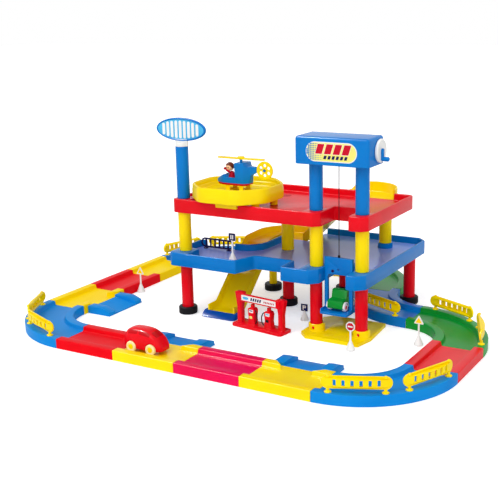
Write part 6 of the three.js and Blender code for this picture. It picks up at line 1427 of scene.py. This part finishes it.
# %% Hair, eyes and control stick
FACE = np.array([-0.25, -0.968, 0.0])
HAIR_RADIUS, HAIR_TOP = 10.5, 0.999
HEM_LOW, HEM_RISE, HEM_STEEP, HEM_FROM = -3.0, 7.6, 9.0, 0.45
EYE_OUT, EYE_APART, EYE_DROP, EYE_RADIUS = 9.0, 3.1, (0, 0, -0.6), 1.25
angle = full_turn(40)
facing = np.cos(angle) * FACE[0] + np.sin(angle) * FACE[1]
hem = HEM_LOW + HEM_RISE / (1 + np.exp(-HEM_STEEP * (facing - HEM_FROM)))
rise = hem + (HAIR_RADIUS * HAIR_TOP - hem) * np.sin(np.linspace(0, np.pi / 2, 10))[:, None]
reach = np.sqrt(HAIR_RADIUS ** 2 - rise ** 2)
hair_rings = np.stack([reach * np.cos(angle), reach * np.sin(angle), rise], -1) + HELI + HEAD_AT
rings_piece("doll_hair", hair_rings, HAIR, "helicopter", ["heli_body"], slot="white_plastic")
across = np.cross([0, 0, 1.0], FACE)
across /= np.linalg.norm(across)
for side, name in ((-1, "a"), (1, "b")):
    eye = HEAD_AT + FACE * EYE_OUT + across * EYE_APART * side + EYE_DROP
    ball("doll_eye_" + name, eye, EYE_RADIUS, BLACK)
limb("control_stick", (PILOT_OUT - 17.5, -2, 28), (PILOT_OUT - 18.5, -2, 37), 1.4, 1.2, BLACK)
ball("control_knob", np.array([PILOT_OUT - 18.5, -2.0, 38.0]), 2.4, BLACK)
print("hair of", hair_rings.shape[0], "rings; pieces so far:", len(PIECES))

# %% [markdown]
# ## Tail rotor
# The tail rotor of the toy is a yellow disc with six round holes. Six booleans could drill it. A filled
# curve takes the holes as they are, and then only has to be stood upright.

# %% Tail rotor
TAIL_X, TAIL_Y, TAIL_Z = 2.0, -63.7, 353.74
TAIL_RADIUS, TAIL_THICK, TAIL_SOFT = 20, 3.6, 0.8
HOLES, HOLE_OUT, HOLE_RADIUS = 6, 11.4, 4.6
tail_outlines = [oval(0, 0, TAIL_RADIUS, TAIL_RADIUS, 48)]
for k in range(HOLES):
    turn = np.pi / 6 + k * np.pi / 3
    hole_x, hole_z = HOLE_OUT * np.cos(turn), HOLE_OUT * np.sin(turn)
    tail_outlines.append(oval(hole_x, hole_z, HOLE_RADIUS, HOLE_RADIUS, 16))
tail_points, tail_faces = cut_sheet(tail_outlines, TAIL_THICK, TAIL_SOFT)
upright = tail_points[:, [0, 2, 1]] + (TAIL_X, TAIL_Y, TAIL_Z)
piece("tail_rotor_disc", upright, tail_faces, YELLOW, "tail_rotor", ["heli_tail_rotor"])
TAIL_CAP = [(TIP, -1.5), (3.6, -1.5), (3.2, -2.6, 0.6), (TIP, -3.0)]
turned("tail_rotor_cap", (TAIL_X, TAIL_Y, TAIL_Z), TAIL_CAP, BLACK, "tail_rotor", ["heli_tail_rotor"],
       axis="y", steps=20)
print("helicopter done, pieces so far:", len(PIECES))

# %% [markdown]
# ## Pump station
# The board over the two pumps is white with small printed marks, and each pump has a display, a label
# and a moulded hose. They are thin plates and bent rods in front of the red moulding. It stands turned
# by eight degrees, so they are drawn square to it and turned with it.

# %% Pump station
PUMP_AT, PUMP_DEGREES = np.array([22.0, -128.0, 0.0]), -8.0
BOARD_Z, BOARD_FRONT, PUMP_FRONT, PUMP_OUT = 68.5, -9.0, -7.0, 23.67
PRINT_FRONT, PLATE_BACK = BOARD_FRONT - 0.6, 0.3
HOSE_X, HOSE_Z, HOSE_BULGE, HOSE_HALF, HOSE_RADIUS = 10.5, 26.5, 6.5, 15.0, 1.3


def at_pump(points):
    """Points of the pump station's own plan, turned about its middle and moved to its place."""
    return turn_about_z(np.asarray(points, float), PUMP_DEGREES) + PUMP_AT


def pump_plates(title, outlines, out, depth, material):
    """Plates on the pump station, from just behind a face at out to depth millimetres in front of it."""
    plates(title, outlines, out + PLATE_BACK, out - depth, material, ["pump_station"], turn=at_pump)


pump_plates("pump_board", [soft_box(0, BOARD_Z, 98, 12.5, 1.2, 3)], BOARD_FRONT, 0.7, WHITE)
pump_plates("pump_board_oval", [oval(-37, BOARD_Z, 8.5, 3.4, 24)], PRINT_FRONT, 0.3, SKY)
board_bars = [slanted(-20 + 6.4 * k, BOARD_Z, 4.0, 7.0) for k in range(5)]
board_dashes = [slanted(17 + 4.4 * k, BOARD_Z - 0.5, 2.6, 4.2) for k in range(7)]
pump_plates("pump_board_bars", board_bars, PRINT_FRONT, 0.3, NAVY)
pump_plates("pump_board_dashes", board_dashes, PRINT_FRONT, 0.3, PRINT_RED)
for side, name, reading, label in ((-1, "left", NAVY, LEMON), (1, "right", SKY, BLACK)):
    x = PUMP_OUT * side
    pump_plates("pump_display_" + name, [soft_box(x, 39, 12, 7, 1.2, 3)], PUMP_FRONT, 0.6, WHITE)
    pump_plates("pump_reading_" + name, [soft_box(x, 40, 9, 2, 0.4, 2)], PUMP_FRONT - 0.6, 0.3, reading)
    pump_plates("pump_label_" + name, [soft_box(x - 1, 24, 8, 6, 1.0, 3)], PUMP_FRONT, 0.6, label)
    turn = np.linspace(0, np.pi, 15)
    hose = np.column_stack([x - side * (HOSE_X + HOSE_BULGE * np.sin(turn)), -4.0 - 3.0 * np.sin(turn),
                            HOSE_Z + HOSE_HALF * np.cos(turn)])
    tube("pump_hose_" + name, at_pump(hose), HOSE_RADIUS, BLACK, "garage", ["pump_station"], steps=10)
print("pump station done, pieces so far:", len(PIECES))
